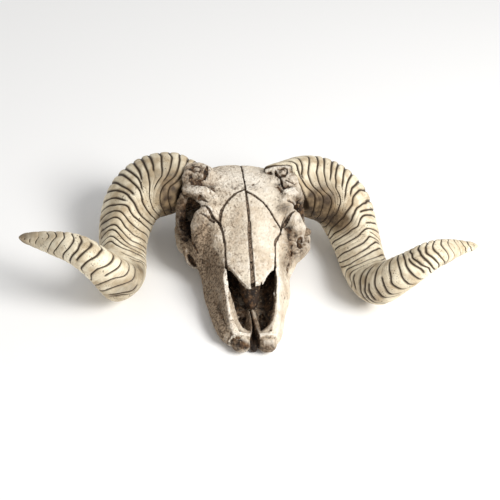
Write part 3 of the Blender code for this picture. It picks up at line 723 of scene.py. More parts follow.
# Plan outline of the room that each bone fills, for the left and the right, and its
# heights; a bone takes what the bones before it have left
BONE_ROOMS = {
    "nasal": (
        ((-0.8, -17.5), (4, -21.5), (9, -25.5), (14, -30.5), (18.5, -36), (22, -41.5), (25, -47),
         (28, -53), (31, -58), (34, -62), (36.6, -65), (35.6, -70), (33, -75), (29.5, -80),
         (28.2, -83), (28, -95), (27.4, -101), (27, -110), (16, -131), (8, -141), (-0.6, -145),
         (-0.9, -94), (-0.8, -40)),
        ((-1, -14.5), (8, -18.5), (14, -23), (20, -29.5), (24, -34.5), (27, -39.5), (30.5, -45),
         (32.2, -50), (33.3, -56), (34, -61), (32.3, -67), (30.2, -79), (29, -91), (29, -103),
         (28.4, -110), (16, -131), (8, -141), (0.6, -145), (0.9, -94), (0.8, -40)),
        -5.0, 60.0,
    ),
    "frontal": (
        ((-0.3, 40), (-0.9, -40), (0, -66), (36.6, -65.5), (42.6, -56.8), (53, -48.5), (57, -38),
         (58, -27), (95, -25), (95, 40)),
        ((0.3, 40), (0.9, -40), (0, -66), (34, -61.5), (41.5, -53.5), (48.5, -45), (55, -34),
         (57, -28), (95, -26), (95, 40)),
        57.0, 140.0,
    ),
    "lacrimal": (
        ((33, -71), (36.6, -65.5), (42.6, -56.8), (53, -48.5), (57, -38), (58, -27), (95, -25),
         (95, -71)),
        ((33, -69), (34, -61.5), (41.5, -53.5), (48.5, -45), (55, -34), (57, -28), (95, -26),
         (95, -69)),
        50.0, 140.0,
    ),
    "zygomatic": (CHEEK_ROOM, CHEEK_ROOM, -5.0, 57.0),
    "premaxilla": (((-0.6, -215), (60, -215), (60, -149), (30, -141), (-0.6, -146)),
                   ((0.6, -215), (60, -215), (60, -149), (30, -141), (0.6, -146)), -5.0, 90.0),
    "maxilla": (JAW_ROOM, JAW_ROOM, -5.0, 90.0),
}
# The underside of the nasal bones, as a plane through this point with this fall forwards
NASAL_PLANE = (-66.0, 75.0, math.tan(math.radians(25.6)))

plan_x, plan_y = wandered(edges[0][:, None], edges[1][None, :])
heights = edges[2][None, None, :]


def bone_room(bone, side):
    """Distance to a bone's room all over the block."""
    left, right, low, high = BONE_ROOMS[bone]
    plan = plan_distance(side * plan_x, plan_y, left if side > 0.0 else right)[..., None]
    level = heights
    if bone == "nasal":
        y, z, fall = NASAL_PLANE
        level = heights - z - fall * (plan_y[..., None] - y) + 14.0
        low, high = 0.0, 60.0
    return np.maximum(plan, np.maximum(low - level, level - high))


def netted(block, low):
    """Skin where a block of distances crosses zero: one point in each cube that the
    skin passes, at the mean of its crossings of the cube's edges, and one four-sided
    face round each crossed edge of the lattice."""
    inside = block < 0.0
    corners = [(a, b, c) for a in (0, 1) for b in (0, 1) for c in (0, 1)]
    view = {k: inside[k[0]:inside.shape[0] - 1 + k[0], k[1]:inside.shape[1] - 1 + k[1],
                      k[2]:inside.shape[2] - 1 + k[2]] for k in corners}
    count = sum(v.astype(np.int8) for v in view.values())
    cells = np.argwhere((count > 0) & (count < 8))
    index = np.full(count.shape, -1, np.int32)
    index[tuple(cells.T)] = np.arange(len(cells))
    value = {k: block[cells[:, 0] + k[0], cells[:, 1] + k[1], cells[:, 2] + k[2]]
             for k in corners}
    total = np.zeros((len(cells), 3))
    hits = np.zeros(len(cells))
    for k in corners:
        for axis in range(3):
            if k[axis]:
                continue
            m = tuple(1 if n == axis else k[n] for n in range(3))
            va, vb = value[k], value[m]
            hit = (va < 0) != (vb < 0)
            t = np.where(hit, va / np.where(hit, va - vb, 1.0), 0.0)
            place = np.tile(np.array(k, float), (len(cells), 1))
            place[:, axis] = t
            total += place * hit[:, None]
            hits += hit
    points = (cells + total / hits[:, None]) * STEP + low
    faces = []
    for axis in range(3):
        u, v = (axis + 1) % 3, (axis + 2) % 3
        near = [slice(1, -1)] * 3
        far = [slice(1, -1)] * 3
        near[axis], far[axis] = slice(0, -1), slice(1, None)
        a, b = inside[tuple(near)], inside[tuple(far)]
        for crossed, turned in ((a & ~b, False), (b & ~a, True)):
            at = np.argwhere(crossed)
            at[:, u] += 1
            at[:, v] += 1
            loop = []
            for du, dv in ((-1, -1), (0, -1), (0, 0), (-1, 0)):
                cell = at.copy()
                cell[:, u] += du
                cell[:, v] += dv
                loop.append(index[tuple(cell.T)])
            faces.append(np.stack(loop[::-1] if turned else loop, -1))
    return points, np.concatenate(faces)


def face_slopes(points, faces):
    """Normal at each point: the sum of the crossed diagonals of the faces round it."""
    a, b, c, d = (points[faces[:, k]] for k in range(4))
    flat = np.cross(c - a, d - b)
    total = np.stack([
        sum(np.bincount(faces[:, k], flat[:, n], len(points)) for k in range(4))
        for n in range(3)
    ], -1)
    return total / (np.linalg.norm(total, axis=1)[:, None] + 1e-12)


def relaxed(points, faces, rounds=2, share=0.5):
    """Each point moved part of the way to the mean of its neighbours along the edges."""
    a = faces.ravel()
    b = np.roll(faces, -1, axis=1).ravel()
    degree = np.bincount(a, minlength=len(points)) + np.bincount(b, minlength=len(points))
    for _ in range(rounds):
        mean = np.stack([
            np.bincount(a, points[b, n], len(points)) + np.bincount(b, points[a, n], len(points))
            for n in range(3)
        ], -1) / degree[:, None]
        points = points + share * (mean - points)
    return points


def read_block(block, low, step, points):
    """Value of a block at points, read evenly between its eight nearest."""
    p = (points - low) / step
    p = np.clip(p, 0, np.array(block.shape) - 1.001)
    i = p.astype(int)
    t = p - i
    total = 0.0
    for a in (0, 1):
        for b in (0, 1):
            for c in (0, 1):
                share = ((t[:, 0] if a else 1 - t[:, 0]) * (t[:, 1] if b else 1 - t[:, 1])
                         * (t[:, 2] if c else 1 - t[:, 2]))
                total = total + share * block[i[:, 0] + a, i[:, 1] + b, i[:, 2] + c]
    return total


def spread(block, reach, rounds=2):
    """Running mean over a cube of 2 reach + 1 points, taken more than once."""
    out = block.astype(np.float32)
    for _ in range(rounds):
        for axis in range(3):
            pad = [(reach + 1, reach) if k == axis else (0, 0) for k in range(3)]
            run = np.cumsum(np.pad(out, pad, mode="edge"), axis=axis, dtype=np.float64)
            width = 2 * reach + 1
            upper = np.take(run, np.arange(width, run.shape[axis]), axis=axis)
            lower = np.take(run, np.arange(0, run.shape[axis] - width), axis=axis)
            out = ((upper - lower) / width).astype(np.float32)
    return out


# Share of bone within a reach of each place, wide and narrow: recesses have more than
# half around them, and edges less. They place the painted shade in recesses and the
# painted highlight on edges.
filled = (head[::2, ::2, ::2] < 0.0).astype(np.float32)
wide_fill = spread(filled, 4)
near_fill = spread(filled, 1)

# Brown and grey of the bone where it isn't a recess, partly stain and partly painted shade
# on the right side, which faces away from the lamp, and round the eyes, as soft spots: the
# place, the reaches and the strength
BONE_STAINS_AND_SHADE = (
    ((-54, -85, 40), (16, 26, 24), 0.4), ((-62, -66, 52), (14, 18, 18), 0.4),
    ((-58, 6, 92), (20, 14, 16), 0.18), ((-76, -16, 66), (9, 22, 28), 0.6),
    ((-66, -48, 42), (20, 20, 14), 0.5), ((54, 6, 94), (12, 12, 14), 0.15),
    ((68, -54, 46), (14, 16, 16), 0.4), ((74, -14, 66), (12, 20, 26), 0.6),
    ((38, -10, 90), (4, 7, 6), 0.4), ((60, -24, 84), (7, 9, 8), 0.5),
    ((-17, -194, 12), (13, 8.5, 10), 0.4), ((15, -195, 11), (12, 8, 9), 0.62),
    ((0, -168, 24), (9, 18, 8), 0.45),
    ((-14, -66, 78), (13, 42, 16), 0.2), ((-62, -23, 87), (11, 7, 5), 0.6),
    ((-56, -58, 68), (11, 20, 22), 0.55),
    ((-46, -76, 62), (8, 22, 16), 0.4), ((-42, -146, 19), (6, 30, 9), 0.4),
    ((-36, -172, 17), (6, 10, 8), 0.3),
    ((58, -56, 66), (8, 12, 12), 0.33), ((54, -52, 82), (10, 8, 8), 0.12),
    ((-24, -30, 88), (22, 12, 10), 0.1),
    ((48, -80, 48), (7, 12, 20), 0.2), ((69, -54, 63), (9, 6, 7), 0.6),
    ((41, -44, 89), (10, 8, 6), 0.42), ((46, -69, 70), (11, 11, 11), 0.32),
    ((57, -75, 52), (14, 10, 12), 0.36), ((40, -94, 50), (8, 26, 18), 0.22),
    ((-56, 6, 100), (14, 14, 8), 0.15), ((-69, 0, 95), (7, 14, 12), 0.35),
)
# The brightest bone, partly painted highlight on top faces that the lamp lights, in the same way
PALE_AND_HIGHLIGHT_SPOTS = (
    ((2, 5, 93), (40, 34, 12), 0.88), ((20, -75, 76), (10, 34, 12), 0.35),
    ((-58, -17, 94), (13, 6, 4), 0.9), ((52, -17, 94), (9, 7, 6), 0.9),
    ((56, -52, 82), (7, 8, 6), 0.35), ((64, -66, 59), (3, 3, 4), 1.0),
    ((-14, -196.5, 6.5), (9, 6, 3.5), 0.8), ((-60, -15, 98), (11, 7, 4), 0.6),
    ((-57, 8, 106), (9, 8, 4), 0.5),
    ((30, -130, 40), (6, 50, 20), 0.4), ((-30, -140, 42), (3.5, 40, 16), 0.8),
)
# Painted shade in the blackest hollows: the notch between the tips and the pits in the floors
# of the nose and of the right eye socket
DARK_SHADE_SPOTS = (
    ((0, -187, 8), (6, 14, 9)), ((-12, -158, 20), (5.5, 13, 9)),
    ((13.5, -156, 20), (4.5, 13, 9)), ((-61, -28, 47), (9, 12, 13)),
    ((-63, -42, 46), (8, 9, 9)), ((-61, -2, 44), (8, 14, 10)),
)
# Rims and ridges in the nose that the wash and painted shade leave bare, in the way of the cracks
BARE_RIDGES = {
    "margin right": (((-26, -122, 1.0), (-25, -132, 2.0), (-23.8, -144, 2.8), (-21.8, -156, 3.2),
                      (-18.8, -168, 3.4), (-15, -175, 3.4), (-8, -178, 2.6)), 0.95),
    "margin left": (((26.5, -138, 0.6), (24, -150, 1.8), (22.3, -162, 2.0), (19, -172, 2.2),
                     (12, -178, 2.2), (7, -179, 1.2)), 0.85),
    "prong right": (((-3, -143, 0.6), (-4.5, -151, 1.0), (-6.5, -159, 1.6), (-9, -168, 2.2),
                     (-10, -176, 3.0)), 0.95),
    "prong left": (((0.5, -139, 0.5), (2.4, -149, 1.0), (4, -158, 1.2), (6, -168, 1.4),
                    (6.5, -178, 1.8)), 0.8),
}
# Rugged bone, lumpy and with wash and painted shade in its lows, in the way of the spots
RUGGED_SPOTS = (
    ((-17, -192, 13), (12, 7, 9), 1.0), ((15, -192, 12), (12, 7, 9), 0.6),
    ((-58, 8, 98), (15, 17, 12), 1.1), ((48, 10, 98), (14, 16, 12), 1.1),
    ((58, -14, 90), (10, 14, 12), 0.5), ((-72, -20, 66), (8, 22, 26), 0.8),
    ((70, -54, 52), (10, 16, 16), 0.7), ((-70, -52, 42), (12, 16, 12), 0.8),
    ((56, -74, 52), (14, 12, 12), 0.9), ((50, -64, 74), (14, 16, 14), 0.6),
    ((-58, -58, 76), (9, 14, 16), 0.35), ((0, -128, 38), (14, 22, 20), 0.8),
    ((44, -20, 92), (16, 12, 8), 0.5), ((-52, -20, 92), (12, 10, 8), 0.4),
    ((-68, 0, 95), (8, 14, 12), 0.8),
)
# Wash and painted shade beyond what the recesses give, in the same way: in the eye sockets,
# the notch and small hollows of the brows, cheeks and tips
WASH_AND_SHADE_SPOTS = (
    ((-61, -24, 64), (12, 19, 18), 1.9), ((59, -24, 64), (12, 19, 18), 1.9),
    ((-66, 0, 93), (10, 12, 7), 0.4), ((-62, -22, 42), (12, 16, 12), 1.6),
    ((-63, -40, 45), (8, 9, 8), 1.5), ((-45.6, -63, 72.4), (5, 7, 6), -1.2),
    ((43, -46, 89), (6, 4, 4), 0.5), ((47, 6, 97), (11, 12, 6), 0.3),
    ((-46, 6, 98), (4, 9, 8), 0.7), ((-56, -9, 93), (13, 4, 5), 0.35),
    ((-76, -22, 60), (7, 16, 26), 0.15), ((-18.5, -191, 17.5), (7, 5, 4.5), 1.3),
    ((-10.5, -193, 14.5), (5, 4, 3.5), 1.3), ((-24, -189, 9), (3, 5, 4), 0.5),
    ((12, -195, 14), (3, 4, 5), 0.5), ((18, -193, 14), (3, 4, 4), 0.35),
    ((58.5, -58, 82), (2.2, 3, 4), 0.7), ((49, -62, 77), (2.4, 4, 4), 0.6),
    ((54, -67, 71), (2.2, 3, 4), 0.55), ((59.5, -66, 71), (2.5, 3, 3.5), 0.6),
    ((45, -70, 70), (2, 6, 3), 0.45), ((52, -78, 54), (2.5, 4, 4), 0.5),
    ((0, -190, 5), (5.5, 12, 6), 2.0),
)


# Colours of the bone: the white is partly painted highlight, the stain and wash colours are partly
# painted shade, and the deep brown is painted shade in the deepest hollows and mottling on the
# vomer
BONE_IVORY, BONE_TAN = (0.83, 0.74, 0.60, 1.0), (0.62, 0.51, 0.38, 1.0)
BONE_HIGHLIGHT_WHITE, BONE_PIT = (0.93, 0.87, 0.77, 1.0), (0.16, 0.10, 0.06, 1.0)
STAIN_AND_SHADE_LIGHT, STAIN_AND_SHADE_DARK = (0.36, 0.27, 0.185, 1.0), (0.10, 0.068, 0.042, 1.0)
SHADE_AND_WASH_BROWN, SHADE_AND_WASH_DARK = (0.115, 0.06, 0.027, 1.0), (0.018, 0.011, 0.007, 1.0)
SHADE_AND_WASH_TAN, CRACK_BROWN = (0.30, 0.21, 0.13, 1.0), (0.045, 0.028, 0.017, 1.0)
DEEP_SHADE_AND_MOTTLE_BROWN, FILL_TAN = (0.016, 0.010, 0.007, 1.0), (0.29, 0.21, 0.145, 1.0)
CRACK_TAN, BONE_SHADE = (0.20, 0.14, 0.09, 1.0), (0.38, 0.29, 0.21, 1.0)


def dry_paint(name, roughness, shine):
    """A new material, its nodes, its shader and its places in metres."""
    paint = bpy.data.materials.new(name)
    paint.use_nodes = True
    tree = paint.node_tree
    shader = tree.nodes["Principled BSDF"]
    shader.inputs["Roughness"].default_value = roughness
    shader.inputs["Specular IOR Level"].default_value = shine
    place = tree.nodes.new("ShaderNodeTexCoord").outputs["Object"]
    return paint, tree, shader, place


def mark(tree, key):
    """A mark that the piece carries at its points."""
    node = tree.nodes.new("ShaderNodeAttribute")
    node.attribute_name = key
    return node.outputs["Fac"]


def plug(tree, sockets, values):
    """Give each socket a fixed value or the outcome of another node."""
    for socket, value in zip(sockets, values):
        if isinstance(value, (tuple, float)):
            socket.default_value = value
        else:
            tree.links.new(value, socket)


def mixed(tree, share, first, second):
    """The first colour where the share is 0 and the second where it is 1."""
    node = tree.nodes.new("ShaderNodeMix")
    node.data_type = "RGBA"
    plug(tree, (node.inputs[0], node.inputs[6], node.inputs[7]), (share, first, second))
    return node.outputs[2]


def ramp(tree, value, low, high, top=1.0):
    """From 0 where a value is at low to top where it is at high."""
    node = tree.nodes.new("ShaderNodeMapRange")
    node.inputs["From Min"].default_value = low
    node.inputs["From Max"].default_value = high
    node.inputs["To Max"].default_value = top
    tree.links.new(value, node.inputs["Value"])
    return node.outputs["Result"]


def worked(tree, operation, a, b):
    """Product or difference of two values, held between 0 and 1."""
    node = tree.nodes.new("ShaderNodeMath")
    node.operation = operation
    node.use_clamp = True
    plug(tree, node.inputs, (a, b))
    return node.outputs[0]


def speckle(tree, vector, scale, detail=2.0):
    """Noise of this many cells to a metre, with finer noise over it."""
    node = tree.nodes.new("ShaderNodeTexNoise")
    node.inputs["Scale"].default_value = scale
    node.inputs["Detail"].default_value = detail
    tree.links.new(vector, node.inputs["Vector"])
    return node.outputs["Fac"]


def roughen(tree, shader, height, strength, distance):
    """Make the surface look rough in the way of a height."""
    bump = tree.nodes.new("ShaderNodeBump")
    bump.inputs["Strength"].default_value = strength
    bump.inputs["Distance"].default_value = distance
    tree.links.new(height, bump.inputs["Height"])
    tree.links.new(bump.outputs["Normal"], shader.inputs["Normal"])


def worn_colour(name):
    """Bone: ivory with a brown wash and painted shade in its recesses, painted highlight on its
    edges, stain with painted shade, and lines, from the piece's own marks, broken up by noise."""
    paint, tree, shader, place = dry_paint(name, 0.72, 0.3)
    drawn = tree.nodes.new("ShaderNodeMapping")
    drawn.inputs["Scale"].default_value = (1.0, 0.5, 1.0)
    tree.links.new(place, drawn.inputs["Vector"])
    drawn = drawn.outputs[0]
    coarse = mark(tree, "coarse")

    tan = ramp(tree, speckle(tree, place, 70.0, 3.0), 0.35, 0.65)
    colour = mixed(tree, tan, BONE_TAN, BONE_IVORY)
    # Pale bone, partly painted highlight
    pale_and_highlight = worked(tree, "MULTIPLY", mark(tree, "pale_and_highlight"), 0.8)
    colour = mixed(tree, pale_and_highlight, colour, BONE_HIGHLIGHT_WHITE)
    # Small brown pits, thicker in patches
    fine = ramp(tree, speckle(tree, drawn, 560.0, 3.0), 0.47, 0.6)
    fine = worked(tree, "MULTIPLY", worked(tree, "MULTIPLY", fine, coarse), 0.5)
    colour = mixed(tree, fine, colour, BONE_SHADE)
    patches = ramp(tree, speckle(tree, place, 60.0), 0.2, 0.55)
    patches = worked(tree, "MULTIPLY", patches, coarse)
    pits = ramp(tree, speckle(tree, drawn, 430.0, 4.0), 0.575, 0.63)
    pits = worked(tree, "MULTIPLY", pits, patches)
    colour = mixed(tree, worked(tree, "MULTIPLY", pits, 0.8), colour, BONE_PIT)
    # Stain with painted shade, then wash with painted shade, darkest in the deepest hollows
    mottle = ramp(tree, speckle(tree, place, 430.0, 4.0), 0.38, 0.62)
    stain_and_shade = mixed(tree, mottle, STAIN_AND_SHADE_DARK, STAIN_AND_SHADE_LIGHT)
    colour = mixed(tree, mark(tree, "stain_and_shade"), colour, stain_and_shade)
    thick = ramp(tree, speckle(tree, place, 190.0, 4.0), 0.4, 0.62)
    brown = mixed(tree, thick, SHADE_AND_WASH_DARK, SHADE_AND_WASH_BROWN)
    thin = ramp(tree, speckle(tree, place, 330.0, 3.0), 0.58, 0.7)
    brown = mixed(tree, thin, brown, SHADE_AND_WASH_TAN)
    deep_shade_and_mottling = worked(tree, "MULTIPLY", mark(tree, "deep_shade_and_mottling"), 0.85)
    brown = mixed(tree, deep_shade_and_mottling, brown, DEEP_SHADE_AND_MOTTLE_BROWN)
    colour = mixed(tree, mark(tree, "wash_and_shade"), colour, brown)
    # What fills the cracks, lumpy where it is thick
    grit = ramp(tree, speckle(tree, place, 420.0, 2.0), 0.5, 0.7, 0.6)
    filling = mixed(tree, grit, CRACK_BROWN, CRACK_TAN)
    lumps = ramp(tree, speckle(tree, place, 460.0, 3.0), 0.36, 0.56)
    lumpy = mixed(tree, lumps, CRACK_BROWN, FILL_TAN)
    filling = mixed(tree, mark(tree, "fill"), filling, lumpy)
    colour = mixed(tree, mark(tree, "line"), colour, filling)
    tree.links.new(colour, shader.inputs["Base Color"])
    height = worked(tree, "SUBTRACT", speckle(tree, place, 520.0, 5.0),
                    worked(tree, "MULTIPLY", pits, 0.4))
    roughen(tree, shader, height, 0.8, 0.0016)
    return paint


# How rough the bone is: the depths of its coarse and fine grain, its pits and the lumps
# of rugged bone, and how far the whole skin is drawn in
COARSE_GRAIN, FINE_GRAIN, PIT_DEPTH, LUMP_HEIGHT, SKIN_DRAW = 0.35, 0.22, 1.1, 0.8, 0.1
# The backmost place that a bone's lumps may reach
BACK_MOST = 67.6
# The shares of bone all round, wide or near, at which the wash with painted shade, the deep
# painted shade, the palest bone with painted highlight and the edges begin, and how fast each grows
WIDE_WASH_AND_SHADE, NEAR_WASH_AND_SHADE, WIDE_DEEP_SHADE = (0.465, 6.5), (0.42, 6.0), (0.54, 7.0)
NEAR_PALE_HIGHLIGHT, WIDE_PALE_HIGHLIGHT, NEAR_EDGE = (0.36, -8.0), (0.46, -12.0), (0.31, -9.0)
# The hollows get painted shade within this depth where the share of bone is high enough, and
# fully in the middle of the nose
HOLLOW_SHADE, SHADE_SHARE, SHADE_SPAN, MIDDLE_HALF = (0.96, -1.0 / 0.6), 0.23, 0.17, 19.0
# The bare ridges lie in the hollow of the nose, in front of this place
RIDGE_BACK, RIDGE_DEPTH, RIDGE_EDGE = -112.0, 4.5, (0.96, -1.0 / 1.6)
# The outer wall of the right side, which faces away from the lamp, gets painted shade with stain
# from the eye to the tip of the muzzle
WALL_SHADE_AND_STAIN, WALL_FACING, WALL_TOP, WALL_BACK = 0.47, (-0.35, -3.0), (62.0, -0.125), (-62.0, -0.1)
# How the lines of the cracks and what fills them fade at their edges
LINE_EDGE, FILL_EDGE = (0.49, -1.0 / 0.7), (-0.56, -1.0 / 0.8)
# The most triangles that a bone keeps
MOST_TRIANGLES = 190000


def over(value, start, rate):
    """From 0 where a value is at start to 1, at a rate, which is below zero where this
    grows as the value falls."""
    return np.clip((value - start) * rate, 0, 1)


def spot(points, place, reach):
    """A soft spot: e^-d^2 for the distance d from its place, counted in its reaches."""
    return np.exp(-(((points - place) / reach) ** 2).sum(1))


def spots(points, table):
    """Sum of soft spots, each as strong as the table says."""
    return sum(strength * spot(points, place, reach) for place, reach, strength in table)


def bone_marks(points, slope, pitted, rugged, lumps, dark_all_over):
    """Marks of a bone at its points, each from 0 to 1: the wash with painted shade and its
    deepest shade (mottling on a piece that is dark all over), the stain with painted shade,
    the palest bone with painted highlight, the coarse speckle, and the line and filling of the
    cracks."""
    just_out = points + slope * STEP
    wide = read_block(wide_fill, BLOCK_LOW, 2 * STEP, just_out)
    near = read_block(near_fill, BLOCK_LOW, 2 * STEP, just_out)
    inner = read_block(hollow, BLOCK_LOW, STEP, points)
    rough = grain(points, 5.0, 3, 5.0)
    x, y, z = points.T

    # Brown wash and painted shade in recesses, hollows, spots, the lows of rugged bone and crevices
    wash_and_shade = over(wide, *WIDE_WASH_AND_SHADE) + 0.8 * over(near, *NEAR_WASH_AND_SHADE)
    wash_and_shade = wash_and_shade * (1.0 + 0.5 * rough) + 0.5 * pitted
    middle = np.abs(x) < MIDDLE_HALF
    shaded = np.clip((wide - SHADE_SHARE + 0.03 * rough) / SHADE_SPAN, 0.8 * middle, 1)
    walls = np.where(middle, 0.9, 1.0 - over(near, *NEAR_EDGE))
    wash_and_shade = wash_and_shade + over(inner, *HOLLOW_SHADE) * walls * shaded
    wash_and_shade = wash_and_shade + (1.0 + 0.3 * rough) * spots(points, WASH_AND_SHADE_SPOTS)
    wash_and_shade = wash_and_shade + 1.6 * rugged * np.clip(-lumps - 0.05, 0, 0.42)
    wash_and_shade = np.clip(wash_and_shade + dark_all_over, 0, 1)
    bare = np.zeros(len(points))
    front = (y < RIDGE_BACK) & (inner < RIDGE_DEPTH)
    for places, strength in BARE_RIDGES.values():
        gap = crack_distance(x[front], y[front], places) + 0.8 * rough[front]
        bare[front] = np.maximum(bare[front], strength * over(gap, *RIDGE_EDGE))
    bare *= 1.0 - dark_all_over
    wash_and_shade = wash_and_shade * (1.0 - bare)
    for places, _ in CREVICES.values():
        gap = crack_distance(x, y, places)
        wash_and_shade = np.where(z > CREVICE_FLOOR, np.maximum(wash_and_shade, 0.75 - gap / 1.2), wash_and_shade)

    # Painted shade in the deepest hollows; mottling on a piece that is dark all over
    deep_shade_and_mottling = over(wide, *WIDE_DEEP_SHADE)
    for place, reach in DARK_SHADE_SPOTS:
        deep_shade_and_mottling = np.maximum(deep_shade_and_mottling, spot(points, place, reach))
    if dark_all_over:
        deep_shade_and_mottling = np.clip(0.2 + 1.5 * lumps + np.clip((-138.0 - y) / 8, 0, 0.6), 0, 1)
    # Pale bone with painted highlight on edges and in spots
    pale_and_highlight = over(near, *NEAR_PALE_HIGHLIGHT) * over(wide, *WIDE_PALE_HIGHLIGHT) + spots(points, PALE_AND_HIGHLIGHT_SPOTS)
    pale_and_highlight = np.clip(pale_and_highlight * (1.0 + 0.3 * rough), 0, 1) * (1.0 - 0.8 * bare)
    # Painted shade on the wall that faces away from the lamp, with stain and the spots
    wall = over(slope[:, 0], *WALL_FACING) * over(z, *WALL_TOP) * over(y, *WALL_BACK)
    stain_and_shade = WALL_SHADE_AND_STAIN * wall + 0.2 * bare + spots(points, BONE_STAINS_AND_SHADE)
    stain_and_shade = np.clip(2.0 * stain_and_shade * (1.0 + 0.35 * grain(points, 9.0, 3, 15.0)), 0, 1)
    # The speckle is coarse on the right side and faint on the left
    coarse = 0.22 + 0.78 / (1.0 + np.exp((x + 9.0) / 6.0))
    coarse = np.maximum(coarse, np.clip(1.2 * rugged, 0, 1))

    line, fill = np.zeros(len(points)), np.zeros(len(points))
    roof = z > CRACK_FLOOR
    for places, _ in CRACKS.values():
        gap = crack_distance(x[roof], y[roof], places)
        line[roof] = np.maximum(line[roof], over(gap, *LINE_EDGE))
        fill[roof] = np.maximum(fill[roof], over(gap, *FILL_EDGE))
    return {"wash_and_shade": wash_and_shade, "line": line, "fill": fill, "pale_and_highlight": pale_and_highlight, "stain_and_shade": stain_and_shade,
            "deep_shade_and_mottling": deep_shade_and_mottling, "coarse": coarse}


def skin_mesh(name, points, corners, starts, marks, paint):
    """A smooth mesh in the scene: points in millimetres, the corners of its faces in a
    row with where each face starts in it, the marks at its points and its material."""
    mesh = bpy.data.meshes.new(name)
    mesh.vertices.add(len(points))
    mesh.vertices.foreach_set("co", to_metres(points).astype(np.float32).ravel())
    mesh.loops.add(len(corners))
    mesh.loops.foreach_set("vertex_index", corners.astype(np.int32))
    mesh.polygons.add(len(starts))
    mesh.polygons.foreach_set("loop_start", starts.astype(np.int32))
    mesh.polygons.foreach_set("use_smooth", np.ones(len(starts), bool))
    mesh.update(calc_edges=True)
    for key, value in marks.items():
        layer = mesh.attributes.new(key, "FLOAT", "POINT")
        layer.data.foreach_set("value", value.astype(np.float32))
    mesh.materials.append(paint)
    piece = bpy.data.objects.new(name, mesh)
    bpy.context.scene.collection.objects.link(piece)
    return piece


def bone_piece(name, block, first, nodes, dark_all_over=0.0):
    """One bone: its distances skinned, roughened by noise along the normals, marked
    with wash, painted shade and highlight, and lines, and put in the model."""
    points, faces = netted(block, BLOCK_LOW + STEP * np.array(first))
    points = relaxed(points, faces)
    slope = face_slopes(points, faces)
    pitted = over(noise(points, 1.9, 4.0), 0.25, 1.0) * over(noise(points, 14.0), -0.6, 1.0)
    coarse_grain, fine_grain = grain(points, 5.0, 3), grain(points, 2.2, 2, 8.0)
    points = points + slope * (COARSE_GRAIN * coarse_grain + FINE_GRAIN * fine_grain
                               - PIT_DEPTH * pitted - SKIN_DRAW)[:, None]
    lumps = grain(points, 4.6, 3, 22.0)
    rugged = spots(points, RUGGED_SPOTS)
    points = points + slope * (LUMP_HEIGHT * rugged * lumps)[:, None]
    points[:, 1] = np.minimum(points[:, 1], BACK_MOST)
    marks = bone_marks(points, slope, pitted, rugged, lumps, dark_all_over)
    starts = np.arange(0, faces.size, 4)
    piece = skin_mesh(name, points, faces.ravel(), starts, marks, worn_colour(name))
    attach(piece, "root")
    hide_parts(*nodes)
    if 2 * len(faces) > MOST_TRIANGLES:
        thinned = piece.modifiers.new("thinned", "DECIMATE")
        thinned.ratio = MOST_TRIANGLES / (2 * len(faces))


# Each bone is skinned in its own part of the block, found on every COARSE-th point
COARSE, ROOM_BELOW, ROOM_ABOVE, ROOM_REACH = 4, 6, 10, 1.6
rest = head
for bone in BONE_ROOMS:
    for label, side in (("left", 1.0), ("right", -1.0)):
        room = bone_room(bone, side)
        mine = np.maximum(rest, room + 0.5 * SUTURE_GAP)
        rest = np.maximum(rest, 0.5 * SUTURE_GAP - room)
        hold = np.argwhere(mine[::COARSE, ::COARSE, ::COARSE] < ROOM_REACH)
        low = np.maximum(hold.min(0) * COARSE - ROOM_BELOW, 0)
        high = np.minimum(hold.max(0) * COARSE + ROOM_ABOVE, BLOCK_COUNT)
        part = mine[low[0]:high[0], low[1]:high[1], low[2]:high[2]]
        bone_piece(f"{bone}_{label}_bone", part, low, [f"{bone}_{label}"])
bone_piece("braincase_bone", rest, (0, 0, 0), ["braincase"])

# The thin bone plate and scrolls in the middle of the nose, dark brown all over with wash and
# painted shade
VOMER_SECTIONS = {
    -148.0: ((0, 31), (1.5, 31), (2.5, 29), (2.5, 27), (0, 27)),
    -138.0: ((0, 38), (4, 37), (7, 33), (7, 25), (0, 24)),
    -126.0: ((0, 44), (6, 43), (10, 36), (9, 25), (0, 23)),
    -110.0: ((0, 54), (7, 53), (12, 42), (11, 30), (0, 24.5)),
    -92.0: ((0, 62), (6, 61), (11, 50), (10, 36), (0, 29)),
    -80.0: ((0, 65), (4, 64), (8, 55), (7, 42), (0, 34)),
}
SCROLL_LOW, SCROLL_HIGH = (90, 50, 30), (131, 165, 100)
scroll = np.full(BLOCK_COUNT, 30.0, np.float32)
cuts, part = skinned(VOMER_SECTIONS)
scroll[cuts] = part
part = scroll[tuple(slice(low, high) for low, high in zip(SCROLL_LOW, SCROLL_HIGH))]
bone_piece("vomer_bone", part, SCROLL_LOW, ["vomer"], 1.0)
